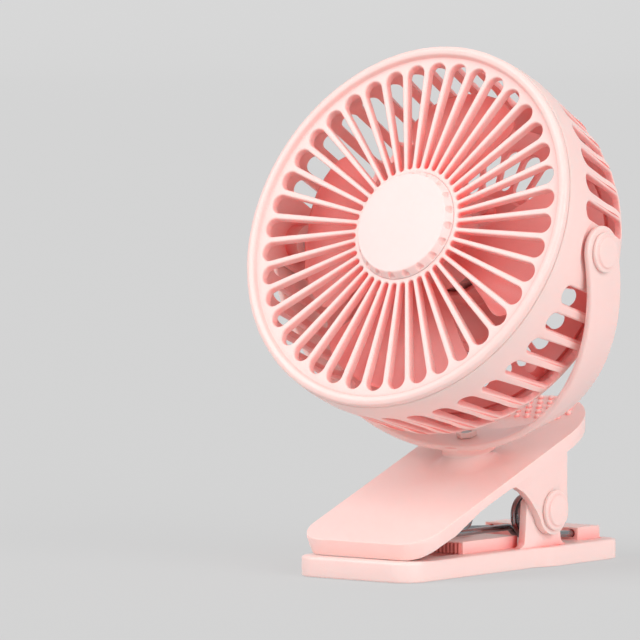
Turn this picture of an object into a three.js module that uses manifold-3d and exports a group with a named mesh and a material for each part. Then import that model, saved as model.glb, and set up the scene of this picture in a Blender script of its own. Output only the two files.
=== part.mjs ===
// Clip fan: a round fan head in a U yoke on a sprung clip, standing on the clip's lower jaw.
// Units are millimetres, +Z is up and -Y is the side that the clip opens to.
// The origin is the centre of the face that the lower jaw stands on.
import * as THREE from 'three';
import { mergeGeometries, mergeVertices } from 'three/addons/utils/BufferGeometryUtils.js';
import Module from 'manifold-3d';

const wasm = await Module();
wasm.setup();

// ---------------------------------------------------------------- driving sizes

// Clearances.
const SEAT_GAP = 0.3; // between pieces that bear on each other
const RUN_GAP = 0.5; // round a piece that turns or slides

// Fan head. Depths are measured back from the face of the grille's spokes.
const HEAD_RADIUS = 72.4; // front rim
const HEAD_DEPTH = 54; // front face to the housing's back lip
const HEAD_TILT = 22; // degrees that the head looks up
const HEAD_BULGE = 0.6; // how far the housing swells past the front rim
const HOUSING_TAPER = 2; // radius lost from the swell to the start of the back curve
const HOUSING_CURVE_DEPTH = 24; // length of the housing's rounded back
const HOUSING_CURVE_INSET = 12; // radius lost over that rounded back
const SHELL_WALL = 2.5;
const COVER_DEPTH = 1; // front face to the seam
const COVER_SKIRT_DEPTH = 6; // the skirt that the cover plugs into the housing with
const COVER_SKIRT_WALL = 2.4;
const SEAM_STEP = 0.6; // how far the housing grows just behind the seam
const SEAM_LENGTH = 7; // depth over which it grows
const HOUSING_CURVE_STEPS = [0, 0.375, 0.6667, 0.9375]; // where the rounded back has its rings
const RIM_PROUD = 2; // rim crest in front of the spokes
const RIM_WIDTH = 4.2; // from the rim's outside to the flat ring within it
const SPOKE_COUNT = 40;
const SPOKE_DEPTH = 3.2;
const SPOKE_WIDTH_INNER = 1.7;
const SPOKE_WIDTH_OUTER = 2.4;
const SLOT_OUTER_RADIUS = 66;
const SLOT_INNER_RADIUS = 23.2;
const SLOT_PHASE = 6.7; // degrees from straight up to the first slot
const DISC_RADIUS = 21.6;
const DISC_FACE_RADIUS = 19.6; // its side leans in to this
const DISC_PROUD = 3.4;
const DISC_NOTCHES = 20;
const NOTCH_RADIUS = 1.6;
const NOTCH_FLOOR = 0.3; // in front of the spokes
const NOTCH_CIRCLE = 21.4;
const VENT_WIDTH = 7;
const VENT_FRONT_DEPTH = 12.5;
const VENT_BACK_DEPTH = 46;
const VENT_LEAN = 6; // degrees that a side vent slants
const VENT_PHASE = 6; // degrees from straight up to the first vent's middle
const VENT_PIVOT_ROOM = 10; // degrees each side of a pivot that take no vent
const BACK_LIP_WIDTH = 6.4;
const BACK_LIP_DEPTH = 2;
const BACK_SEAT_ROOM = 0.8; // from the back plate's rim to the housing's inside
const BACK_PLATE = 1.8;
const BACK_SLOT_INNER_RADIUS = 33;
const BACK_SLOT_OUTER_RADIUS = 49.5;
const BACK_RIB_WIDTH = 2;
const BACK_RIBS = 30;

// Impeller and motor, all on the head's axis.
const BLADE_COUNT = 4;
const BLADE_TIP_RADIUS = 60.5;
const BLADE_HALF_SPAN = 35; // degrees each side of a blade's middle, near its tip
const BLADE_ROOT_HALF_SPAN = 27; // the same at the hub
const BLADE_RISE = 7; // axial rise of a blade each side of its middle
const BLADE_THICKNESS = 1.8;
const BLADE_MIDDLE_DEPTH = 17.5;
const BLADE_PHASE = -3;
const HUB_RADIUS = 17;
const HUB_WALL = 1.8;
const HUB_FRONT_DEPTH = 7.5;
const HUB_LENGTH = 19.5;
const HUB_BOSS_RADIUS = 4;
const MOTOR_RADIUS = 12.5;
const MOTOR_LENGTH = 18;
const SHAFT_RADIUS = 1.15;
const MOTOR_CUP_WALL = 2;
const MOTOR_CUP_DEPTH = 11.5;
const MOTOR_FLOOR = 4.4;

// Battery pod behind the head.
const POD_RADIUS = 29;
const POD_DEPTH = 12;
const POD_WALL = 2;
const BOARD_RADIUS = 20;
const BOARD_THICKNESS = 1.6;
const BOARD_STANDOFF = 1.5;
const SWITCH_HEIGHT = 3.2;
const SWITCH_SIDE = 6;
const CELL_WIDTH = 32;
const CELL_HEIGHT = 18;
const CELL_THICKNESS = 6;
const SOCKET_WIDTH = 9.2;
const SOCKET_HEIGHT = 3.2;
const SOCKET_LENGTH = 7.5;
const BUTTON_RADIUS = 5;
const BUTTON_PROUD = 1.2;
const BUTTON_TRAVEL = 1;
const BUTTON_DROP = 10; // below the head's axis
const LENS_RADIUS = 1.5;
const LENS_ASIDE = 11;

// Yoke.
const YOKE_SIDE_ROOM = 3; // from the head's rim to the outside of the arms
const YOKE_UNDER_ROOM = 5.6; // from the head's rim to the yoke's underside
const YOKE_HALF_WIDTH = HEAD_RADIUS + YOKE_SIDE_ROOM; // outside, at the pivots
const YOKE_DROP = HEAD_RADIUS + YOKE_UNDER_ROOM; // pivots to the yoke's underside, along the yoke
const YOKE_THICKNESS = 2.5;
const YOKE_ARM_WIDTH = 20;
const YOKE_FOOT_WIDTH = 23;
const YOKE_POWER = 2.1; // roundness of the U: 2 is an ellipse
const YOKE_LEAN = 13.5; // degrees that the yoke leans back towards its foot
const PIVOT_DEPTH = 24.1; // behind the spokes
const NECK_Y = 7.5587; // middle of the yoke's underside
const NECK_Z = 47.3551;
const PIVOT_PIN_RADIUS = 2.6;
const PIVOT_BOSS_RADIUS = 7;
const PIVOT_BOSS_LENGTH = 8;
const PIVOT_CAP_RADIUS = 7.6;
const PIVOT_CAP_HEIGHT = 2.2;
const PIVOT_WASHER_RADIUS = 6;
const PIVOT_SIDE_SPACE = 1.4; // yoke arm to housing, washer included

// Neck between the yoke and the clip. It stands on the jaw, and the pivots stand on it.
const NECK_RADIUS = 10.5;
const NECK_FOOT_HEIGHT = 2; // round pad under the yoke
const NECK_WASHER_RADIUS = 9;
const NECK_WASHER_HEIGHT = 0.8;
const NECK_SCREW_RADIUS = 2;
const NECK_HEAD_RADIUS = 4;
const NECK_HEAD_HEIGHT = 2;
const NECK_NUT_RADIUS = 4;
const NECK_NUT_HEIGHT = 1.8;

// Clip, upper jaw.
const JAW_HALF_WIDTH = 30;
const JAW_TOP_AT_ORIGIN = 38.2; // height of the top face over the origin
const JAW_SLOPE = 20.45; // degrees
const JAW_FRONT_Y = -64.1;
const JAW_FRONT_CORNER = 13;
const JAW_REAR_ROUND_Y = 33; // where the sides start to round in
const JAW_REAR_LENGTH = 32; // of that rounded end
const JAW_SKIN = 2.4;
const JAW_SKIRT = 2.2; // thickness of the wall round the edge
const JAW_EDGE_DEPTH = 6;
const JAW_WAIST_DEPTH = 3.9;
const JAW_LIP_LENGTH = 4;
const JAW_LIP_INSET = 2.2; // how far the lip draws in towards its foot
const JAW_LIP_TAPER = 6.2; // height over which it does
// The lip's underside: steps back from the jaw's front and up from the lip's foot.
const JAW_LIP_CURVE = [[3.2, 0], [5.6, 0.9], [9, 2.7], [13, 4.9], [17, 6.6]];
const JAW_EDGE_FRONT_Y = -42; // where the edge has its full depth
const JAW_WAIST_FRONT_Y = -26; // where the edge has thinned to its waist
const EAR_THICKNESS = 3;
const EAR_BOSS_RADIUS = 9.3;
const EAR_REACH = 25.4; // from the pin to where an ear meets the skirt in front
const EAR_REAR = 9; // from the pin to an ear's rear edge
const EAR_FILLET = 4;
const EAR_CURVE = [[-20, 8.2], [-15.7, 4.9], [-11.6, 0.6]]; // an ear's front edge, from the pin
const PIN_Y = 22.4;
const PIN_Z = 21.9;
const PIN_RADIUS = 2.5;
const PIN_INNER_X = 16.5; // each half pin reaches in this far, into its coil
const PIN_CAP_RADIUS = 7.7;
const PIN_CAP_HEIGHT = 2.4;
const BUMP_PITCH_X = 4.8;
const BUMP_SHIFT_X = 0.7; // the pattern is not quite central
const BUMP_PITCH_Y = 4.1;
const BUMP_RADIUS = 1.1;
const BUMP_HEIGHT = 1.3;
const BUMP_FIRST_Y = 46;
const BUMP_ROWS = 5;
const BUMP_FIELD_HALF_WIDTH = 19;
const BUMP_EDGE_ROOM = 5;

// Clip, lower jaw.
const PLATE_HEIGHT = 8;
const PLATE_FRONT_Y = -68;
const PLATE_REAR_Y = 68.5;
const PLATE_HALF_WIDTH = 28;
const PLATE_REAR_HALF_WIDTH = 31;
const PLATE_STEP_Y = 11; // where the plate starts to widen
const PLATE_STEP_LENGTH = 13;
const PLATE_FRONT_CORNER = 10;
const PLATE_REAR_CORNER = 8;
const PLATFORM_HALF_WIDTH = 21;
const PLATFORM_FRONT_Y = -25;
const PLATFORM_REAR_Y = 10.7;
const PLATFORM_HEIGHT = 4.5;
const LUG_THICKNESS = 3;
const LUG_BOSS_RADIUS = 7.8;
const LUG_BASE_FRONT_Y = 4.5;
const LUG_BASE_REAR_Y = 35;
const LUG_FLARE = 3.5; // how far a lug's foot spreads
const REAR_BLOCK_FRONT_Y = 50;
const REAR_BLOCK_REAR_Y = 65;
const REAR_BLOCK_HALF_WIDTH = 22;
const REAR_BLOCK_HEIGHT = 4.7;
const GRIP_HALF_WIDTH = 19;
const GRIP_THICKNESS = 2.2;
const GRIP_RIB_HEIGHT = 0.8;
const GRIP_RIBS = 9;
const GRIP_SINK = 0.8; // how deep the lower pad sits in the plate
const LOWER_GRIP_FRONT_Y = -57;
const LOWER_GRIP_REAR_Y = -27;
const UPPER_GRIP_FRONT_Y = -57.5;
const UPPER_GRIP_REAR_Y = -42;
const GRIP_STOP_HALF_WIDTH = 20.7; // the raised end of the lower pad
const GRIP_STOP_THICKNESS = 2.2;
const GRIP_STOP_DROP = 0.3; // below the platform's top
const FOOT_HALF_WIDTH = 21;
const FOOT_FRONT_Y = -60;
const FOOT_REAR_Y = 60;
const FOOT_THICKNESS = 1.5;
const FOOT_PROUD = 0.3;

// Torsion spring on the clip's pin.
const WIRE_RADIUS = 1.3;
const COIL_RADIUS = 7.2; // of the wire's centre line
const COIL_TURNS = 2;
const COIL_PITCH = 3.15;
const COIL_OUTER_X = 20.2; // wire centre at the outer end of a coil
const COIL_DROP = 2.9; // the coil hangs on the pin, so its centre is below the pin's
const FRONT_LEG_Z = 15;
const FRONT_LEG_END_Y = -37;
const REAR_LEG_X = 19;
const REAR_LEG_END_Y = 54;
const REAR_LEG_END_Z = 10.4;
const STEPS_PER_CURL = 8;
const WIRE_SIDES = 5;
const HOOK_HALF_WIDTH = 3;
const HOOK_WALL = 2.5;
const HOOK_FLOOR = 1.8;

// Screws.
const SCREW_SHANK_RADIUS = 1;
const SCREW_HEAD_RADIUS = 2;
const SCREW_HEAD_HEIGHT = 1.1;
const SCREW_BOSS_RADIUS = 2.8;
const HOUSING_SCREW_LENGTH = 8;
const HOUSING_SCREWS = 4;
const POD_SCREW_CIRCLE = 23.9;
const POD_SCREW_ANGLES = [0, 112, 248];
const POD_SCREW_SINK = 4; // how deep the heads sit in the pod's back
const POD_SCREW_LENGTH = 14;
const MOTOR_SCREW_ANGLES = [90, 270];
const MOTOR_SCREW_ASIDE = 8;
const MOTOR_SCREW_LENGTH = 6.5;

// Facets round a full circle.
const FACETS_SHELL = 40;
const FACETS_MEDIUM = 20;
const FACETS_SMALL = 12;
const FACETS_SCREW = 8;

// ---------------------------------------------------------------- finishes

const finish = (color, roughness, metalness = 0) => new THREE.MeshStandardMaterial({ color, roughness, metalness });
const shellPink = finish(0xf7d7d2, 0.35);
const discPink = finish(0xffe8e4, 0.5);
const bladePink = finish(0xe58f88, 0.3);
const gripPink = finish(0xdf8d85, 0.8);
const springBlack = finish(0x2b2b2d, 0.3, 1);
const steel = finish(0xb9bcc0, 0.3, 1);
const boardGreen = finish(0x2f6b45, 0.5);
const cellBlue = finish(0x7f93b5, 0.4);
const clearLens = finish(0xf4f2ee, 0.15);
const rubberGrey = finish(0x6b6461, 0.9);

// ---------------------------------------------------------------- shape helpers

const radians = THREE.MathUtils.degToRad;

/** Turn a geometry into a solid whose shared points are merged and whose faces look out. */
function toSolid(geometry) {
  const bare = geometry.clone();
  bare.deleteAttribute('normal');
  bare.deleteAttribute('uv');
  const merged = mergeVertices(bare, 1e-4);
  const points = merged.attributes.position.array;
  const corners = merged.index.array;
  const kept = [];
  let volume = 0;
  const a = new THREE.Vector3();
  const b = new THREE.Vector3();
  const c = new THREE.Vector3();
  for (let i = 0; i < corners.length; i += 3) {
    const [p, q, r] = [corners[i], corners[i + 1], corners[i + 2]];
    if (p === q || q === r || r === p) {
      continue;
    }
    kept.push([p, q, r]);
    a.fromArray(points, 3 * p);
    b.fromArray(points, 3 * q);
    c.fromArray(points, 3 * r);
    volume += a.dot(b.cross(c));
  }
  const ordered = kept.flatMap(([p, q, r]) => (volume < 0 ? [p, r, q] : [p, q, r]));
  return new wasm.Manifold(new wasm.Mesh({
    numProp: 3,
    vertProperties: new Float32Array(points),
    triVerts: new Uint32Array(ordered),
  }));
}

/** Turn a solid back into a geometry. */
function toGeometry(solid) {
  const mesh = solid.getMesh();
  const geometry = new THREE.BufferGeometry();
  geometry.setAttribute('position', new THREE.BufferAttribute(new Float32Array(mesh.vertProperties), 3));
  geometry.setIndex(new THREE.BufferAttribute(new Uint32Array(mesh.triVerts), 1));
  return geometry;
}

const join = (first, ...others) => (
  toGeometry(others.reduce((sum, part) => sum.add(toSolid(part)), toSolid(first)))
);
const cut = (body, ...tools) => (
  toGeometry(tools.reduce((rest, tool) => rest.subtract(toSolid(tool)), toSolid(body)))
);
const common = (one, other) => toGeometry(toSolid(one).intersect(toSolid(other)));

/** A body turned about Z from [radius, z] points that close on themselves or on the axis. */
function turned(profile, facets) {
  const closed = [...profile, profile[0]].map(([radius, z]) => new THREE.Vector2(radius, z));
  return new THREE.LatheGeometry(closed, facets).rotateX(Math.PI / 2);
}

const rod = (radius, zFrom, zTo, facets) => turned([[0, zFrom], [radius, zFrom], [radius, zTo], [0, zTo]], facets);

const ring = (inner, outer, zFrom, zTo, facets) => (
  turned([[inner, zFrom], [outer, zFrom], [outer, zTo], [inner, zTo]], facets)
);

/** A rod along X between two places. */
const crossRod = (radius, xFrom, xTo, facets) => rod(radius, xFrom, xTo, facets).rotateY(Math.PI / 2);

/** A box from its low corner to its high corner. */
function block([x0, y0, z0], [x1, y1, z1]) {
  return new THREE.BoxGeometry(x1 - x0, y1 - y0, z1 - z0).translate((x0 + x1) / 2, (y0 + y1) / 2, (z0 + z1) / 2);
}

const outline = (points) => new THREE.Shape(points.map(([x, y]) => new THREE.Vector2(x, y)));

/** An outline in X and Y made solid between two heights. */
function slab(points, zFrom, zTo) {
  const settings = { depth: zTo - zFrom, bevelEnabled: false };
  return new THREE.ExtrudeGeometry(outline(points), settings).translate(0, 0, zFrom);
}

/** An outline in Y and Z made solid between two places along X. */
function sideSlab(points, xFrom, xTo) {
  const turn = new THREE.Matrix4().makeBasis(
    new THREE.Vector3(0, 1, 0),
    new THREE.Vector3(0, 0, 1),
    new THREE.Vector3(1, 0, 0),
  );
  return slab(points, xFrom, xTo).applyMatrix4(turn);
}

/** Points of an arc, its ends included. */
function arc(x, y, radius, from, to, steps) {
  return Array.from({ length: steps + 1 }, (_, i) => {
    const angle = radians(from + ((to - from) * i) / steps);
    return [x + radius * Math.cos(angle), y + radius * Math.sin(angle)];
  });
}

/** Copies of a geometry turned about Z to the given angles, as one cutter or joiner. */
const aroundAxis = (geometry, angles) => (
  mergeGeometries(angles.map((angle) => geometry.clone().rotateZ(radians(angle))))
);

/** Evenly spaced angles. */
const evenly = (count, phase = 0) => Array.from({ length: count }, (_, i) => phase + (360 * i) / count);

/** A tube of constant radius along points, with flat ends. */
function wire(path, radius, sides) {
  const positions = [];
  const indices = [];
  let normal = new THREE.Vector3(1, 0, 0);
  path.forEach((point, i) => {
    const before = path[Math.max(i - 1, 0)];
    const after = path[Math.min(i + 1, path.length - 1)];
    const into = point.clone().sub(before).normalize();
    const out = after.clone().sub(point).normalize();
    const tangent = into.clone().add(out).normalize();
    normal = normal.clone().addScaledVector(tangent, -normal.dot(tangent)).normalize();
    const binormal = tangent.clone().cross(normal);
    const mitre = i === 0 || i === path.length - 1 ? 1 : 1 / Math.max(into.dot(tangent), 0.5);
    const bend = out.clone().sub(into);
    const across = bend.lengthSq() > 1e-9 ? bend.normalize() : normal;
    for (let s = 0; s < sides; s += 1) {
      const angle = (2 * Math.PI * s) / sides;
      const spoke = normal.clone().multiplyScalar(Math.cos(angle)).addScaledVector(binormal, Math.sin(angle));
      spoke.addScaledVector(across, (mitre - 1) * spoke.dot(across));
      positions.push(...point.clone().addScaledVector(spoke, radius).toArray());
    }
  });
  for (let i = 0; i < path.length - 1; i += 1) {
    for (let s = 0; s < sides; s += 1) {
      const a = i * sides + s;
      const b = i * sides + ((s + 1) % sides);
      indices.push(a, b, b + sides, a, b + sides, a + sides);
    }
  }
  const last = (path.length - 1) * sides;
  for (let s = 1; s < sides - 1; s += 1) {
    indices.push(0, s + 1, s, last, last + s, last + s + 1);
  }
  const geometry = new THREE.BufferGeometry();
  geometry.setAttribute('position', new THREE.Float32BufferAttribute(positions, 3));
  geometry.setIndex(indices);
  return toGeometry(toSolid(geometry));
}

/** Add a named piece to a group, its faces looking out. */
function addPiece(group, name, geometry, material) {
  const mesh = new THREE.Mesh(toGeometry(toSolid(geometry)), material);
  mesh.name = name;
  group.add(mesh);
  return mesh;
}

// ---------------------------------------------------------------- fan head, z forward from the spokes

const yokeInner = YOKE_HALF_WIDTH - YOKE_THICKNESS;
const pivotPadX = yokeInner - PIVOT_SIDE_SPACE;
const rimInner = HEAD_RADIUS - RIM_WIDTH;
const housingInner = HEAD_RADIUS - SHELL_WALL;
const skirtOuter = housingInner - SEAT_GAP;
const skirtInner = skirtOuter - COVER_SKIRT_WALL;
const discSeat = -0.6;
const hubRecess = DISC_RADIUS + 0.6;
const backLipFront = -HEAD_DEPTH + BACK_LIP_DEPTH;
const backPlateRear = backLipFront + SEAT_GAP;
const backPlateFront = backPlateRear + BACK_PLATE;
const backRadius = HEAD_RADIUS + HEAD_BULGE - HOUSING_TAPER - HOUSING_CURVE_INSET;
const lipOpening = backRadius - BACK_LIP_WIDTH;
const backPlateRadius = backRadius - SEAT_GAP - BACK_SEAT_ROOM;
const screwCircle = (lipOpening + backPlateRadius) / 2;
const motorRear = backPlateRear + MOTOR_FLOOR + SEAT_GAP;
const motorFront = motorRear + MOTOR_LENGTH;
const cupInner = MOTOR_RADIUS + SEAT_GAP;
const cupOuter = cupInner + MOTOR_CUP_WALL;
const podFront = backPlateRear - SEAT_GAP;
const podRear = podFront - POD_DEPTH;
const podFloor = podRear + POD_WALL;
const boardFront = backPlateRear - BOARD_STANDOFF - SEAT_GAP;
const boardRear = boardFront - BOARD_THICKNESS;
const screwHole = SCREW_SHANK_RADIUS + SEAT_GAP;

/** Outer radius of the housing at a depth behind the spokes. */
function housingRadius(depth) {
  const swell = HEAD_RADIUS + HEAD_BULGE;
  const swellEnd = VENT_FRONT_DEPTH - 0.5;
  const curveStart = HEAD_DEPTH - HOUSING_CURVE_DEPTH;
  if (depth <= swellEnd) {
    return swell - SEAM_STEP * Math.max(0, (SEAM_LENGTH - depth) / SEAM_LENGTH) ** 2;
  }
  if (depth <= curveStart) {
    return swell - (HOUSING_TAPER * (depth - swellEnd)) / (curveStart - swellEnd);
  }
  const into = (depth - curveStart) / HOUSING_CURVE_DEPTH;
  const roundness = (1 - Math.sqrt(1 - 0.94 * into ** 2.2)) / (1 - Math.sqrt(0.06));
  return swell - HOUSING_TAPER - HOUSING_CURVE_INSET * roundness;
}

/** One grille slot pointing up: a taper with round ends. */
function slotCutter(inner, outer, innerRib, outerRib, count, zFrom, zTo, roundSteps) {
  const half = Math.PI / count;
  const outerRound = (half * outer - outerRib / 2) / (1 + half);
  const innerRound = (half * inner - innerRib / 2) / (1 - half);
  const points = [
    ...arc(0, outer - outerRound, outerRound, 0, 180, roundSteps),
    ...arc(0, inner + innerRound, innerRound, 180, 360, 2),
  ];
  return slab(points, zFrom, zTo);
}

function frontCover() {
  const body = turned([
    [skirtInner, -COVER_SKIRT_DEPTH],
    [skirtOuter, -COVER_SKIRT_DEPTH],
    [skirtOuter, -COVER_DEPTH],
    [HEAD_RADIUS, -COVER_DEPTH],
    [HEAD_RADIUS, 0.2],
    [HEAD_RADIUS - 0.7, RIM_PROUD - 0.5],
    [HEAD_RADIUS - 2.1, RIM_PROUD],
    [HEAD_RADIUS - 3.3, RIM_PROUD - 0.4],
    [rimInner, 0.1],
    [rimInner - 0.6, 0],
    [hubRecess, 0],
    [hubRecess, discSeat],
    [0, discSeat],
    [0, -SPOKE_DEPTH],
    [skirtInner, -SPOKE_DEPTH],
  ], FACETS_SHELL).rotateZ(radians(180 / SPOKE_COUNT - SLOT_PHASE));
  const slot = slotCutter(
    SLOT_INNER_RADIUS,
    SLOT_OUTER_RADIUS,
    SPOKE_WIDTH_INNER,
    SPOKE_WIDTH_OUTER,
    SPOKE_COUNT,
    -SPOKE_DEPTH - 1,
    1,
    6,
  );
  return cut(body, aroundAxis(slot, evenly(SPOKE_COUNT, -SLOT_PHASE)));
}

function discCap() {
  const seat = discSeat + SEAT_GAP;
  const body = turned([
    [0, seat],
    [DISC_RADIUS, seat],
    [DISC_RADIUS, NOTCH_FLOOR],
    [DISC_FACE_RADIUS + 0.4, DISC_PROUD - 0.4],
    [DISC_FACE_RADIUS, DISC_PROUD],
    [0, DISC_PROUD],
  ], FACETS_SHELL);
  const notch = rod(NOTCH_RADIUS, NOTCH_FLOOR, DISC_PROUD + 1, 6).translate(0, NOTCH_CIRCLE, 0);
  return cut(body, aroundAxis(notch, evenly(DISC_NOTCHES)));
}

/** Angles of the side vents: all round but for those that the pivot bosses need. */
function ventAngles() {
  return evenly(SPOKE_COUNT, 360 / SPOKE_COUNT - VENT_PHASE).filter((angle) => (
    Math.abs((angle % 180) - 90) > VENT_PIVOT_ROOM
  ));
}

function rearHousing() {
  const curveStart = HEAD_DEPTH - HOUSING_CURVE_DEPTH;
  const depths = [
    COVER_DEPTH + SEAT_GAP,
    SEAM_LENGTH,
    VENT_FRONT_DEPTH - 0.5,
    ...HOUSING_CURVE_STEPS.map((part) => curveStart + part * HOUSING_CURVE_DEPTH),
  ];
  const outside = depths.map((depth) => [housingRadius(depth), -depth]);
  const insideDepths = depths.filter((depth) => depth >= curveStart && -depth > backLipFront + 1).reverse();
  const inside = insideDepths.map((depth) => [housingRadius(depth + 1) - SHELL_WALL, -depth]);
  const shell = turned([
    [housingInner, -COVER_DEPTH - SEAT_GAP],
    ...outside,
    [backRadius - 0.4, -HEAD_DEPTH],
    [lipOpening, -HEAD_DEPTH],
    [lipOpening, backLipFront],
    [backRadius - 0.6, backLipFront],
    ...inside,
    [housingInner, -VENT_FRONT_DEPTH + 0.5],
  ], FACETS_SHELL).rotateZ(radians(180 / SPOKE_COUNT - VENT_PHASE));
  const ventMiddle = (VENT_FRONT_DEPTH + VENT_BACK_DEPTH) / 2;
  const ventReach = (VENT_BACK_DEPTH - VENT_FRONT_DEPTH - VENT_WIDTH) / 2;
  const vent = slab([
    ...arc(0, ventReach, VENT_WIDTH / 2, 0, 180, 3),
    ...arc(0, -ventReach, VENT_WIDTH / 2, 180, 360, 3),
  ], backRadius - SHELL_WALL - 6, HEAD_RADIUS + 5);
  vent.rotateZ(radians(VENT_LEAN)).rotateX(Math.PI / 2);
  vent.rotateZ(Math.PI).translate(0, 0, -ventMiddle);
  const boss = (side) => crossRod(
    PIVOT_BOSS_RADIUS,
    side * (pivotPadX - PIVOT_BOSS_LENGTH),
    side * (pivotPadX - 1),
    FACETS_SMALL,
  ).translate(0, 0, -PIVOT_DEPTH);
  const bore = (side) => crossRod(
    PIVOT_PIN_RADIUS + SEAT_GAP,
    side * (pivotPadX - PIVOT_BOSS_LENGTH - 1),
    side * (HEAD_RADIUS + 2),
    FACETS_SMALL,
  ).translate(0, 0, -PIVOT_DEPTH);
  const pad = (side) => crossRod(
    YOKE_ARM_WIDTH / 2 + 1.2,
    side * pivotPadX,
    side * (HEAD_RADIUS + 3),
    FACETS_SMALL,
  ).translate(0, 0, -PIVOT_DEPTH);
  const screwHoles = aroundAxis(
    rod(screwHole, -HEAD_DEPTH - 1, backLipFront + 1, FACETS_SCREW).translate(0, screwCircle, 0),
    evenly(HOUSING_SCREWS, 45),
  );
  const counterbores = aroundAxis(
    rod(SCREW_HEAD_RADIUS + SEAT_GAP, -HEAD_DEPTH - 1, -HEAD_DEPTH + SCREW_HEAD_HEIGHT, FACETS_SCREW)
      .translate(0, screwCircle, 0),
    evenly(HOUSING_SCREWS, 45),
  );
  const vented = cut(shell, aroundAxis(vent, ventAngles()));
  return cut(join(vented, boss(1), boss(-1)), bore(1), bore(-1), pad(1), pad(-1), screwHoles, counterbores);
}

function rearGrille() {
  const cupFloor = motorRear - SEAT_GAP;
  const centre = backPlateRear + 2.3;
  const seatRing = BOARD_RADIUS - 3;
  const body = turned([
    [3, backPlateRear],
    [seatRing, backPlateRear],
    [seatRing, backPlateRear - BOARD_STANDOFF],
    [seatRing + 1.5, backPlateRear - BOARD_STANDOFF],
    [seatRing + 1.5, backPlateRear],
    [backPlateRadius, backPlateRear],
    [backPlateRadius, backPlateFront],
    [POD_RADIUS + 1, backPlateFront],
    [POD_RADIUS, centre],
    [cupOuter, centre],
    [cupOuter, centre + MOTOR_CUP_DEPTH],
    [cupInner, centre + MOTOR_CUP_DEPTH],
    [cupInner, cupFloor],
    [3, cupFloor],
  ], FACETS_SHELL);
  const slot = slotCutter(
    BACK_SLOT_INNER_RADIUS,
    BACK_SLOT_OUTER_RADIUS,
    BACK_RIB_WIDTH,
    BACK_RIB_WIDTH,
    BACK_RIBS,
    backPlateRear - 1,
    backPlateFront + 1,
    2,
  );
  const post = rod(SCREW_BOSS_RADIUS, backPlateFront - 0.5, backPlateRear + HOUSING_SCREW_LENGTH - 1, FACETS_SCREW);
  const posts = aroundAxis(post.clone().translate(0, screwCircle, 0), evenly(HOUSING_SCREWS, 45));
  const podPosts = aroundAxis(post.clone().translate(0, POD_SCREW_CIRCLE, 0), POD_SCREW_ANGLES);
  const hole = rod(screwHole, backPlateRear - 2, backPlateRear + HOUSING_SCREW_LENGTH + 1, FACETS_SCREW);
  const holes = aroundAxis(hole.clone().translate(0, screwCircle, 0), evenly(HOUSING_SCREWS, 45));
  const podHoles = aroundAxis(hole.clone().translate(0, POD_SCREW_CIRCLE, 0), POD_SCREW_ANGLES);
  const motorHole = hole.clone().translate(0, MOTOR_SCREW_ASIDE, 0);
  const motorSink = rod(SCREW_HEAD_RADIUS + SEAT_GAP, backPlateRear - 1, backPlateRear + 1.4, FACETS_SCREW)
    .translate(0, MOTOR_SCREW_ASIDE, 0);
  const slotted = cut(body, aroundAxis(slot, evenly(BACK_RIBS, 180 / BACK_RIBS)));
  const posted = join(slotted, posts, podPosts);
  const motorCuts = [motorHole, motorSink].map((tool) => aroundAxis(tool, MOTOR_SCREW_ANGLES));
  return cut(posted, holes, podHoles, ...motorCuts);
}

/** A pan-head screw pointing forward, its head's outer face at z = 0. */
function screw(length) {
  return turned([
    [0, 0],
    [SCREW_HEAD_RADIUS, 0],
    [SCREW_HEAD_RADIUS, SCREW_HEAD_HEIGHT - SEAT_GAP],
    [SCREW_SHANK_RADIUS, SCREW_HEAD_HEIGHT - SEAT_GAP],
    [SCREW_SHANK_RADIUS, length],
    [0, length],
  ], FACETS_SCREW);
}

function motorCan() {
  const body = turned([
    [0, motorRear],
    [MOTOR_RADIUS, motorRear],
    [MOTOR_RADIUS, motorFront - 1],
    [MOTOR_RADIUS - 1, motorFront],
    [4, motorFront],
    [4, motorFront + 1],
    [0, motorFront + 1],
  ], FACETS_MEDIUM);
  const bore = rod(SHAFT_RADIUS + SEAT_GAP, motorFront - 10, motorFront + 2, FACETS_SCREW);
  const hole = rod(screwHole, motorRear - 1, motorRear + MOTOR_SCREW_LENGTH, FACETS_SCREW);
  return cut(body, bore, aroundAxis(hole.translate(0, MOTOR_SCREW_ASIDE, 0), MOTOR_SCREW_ANGLES));
}

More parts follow.
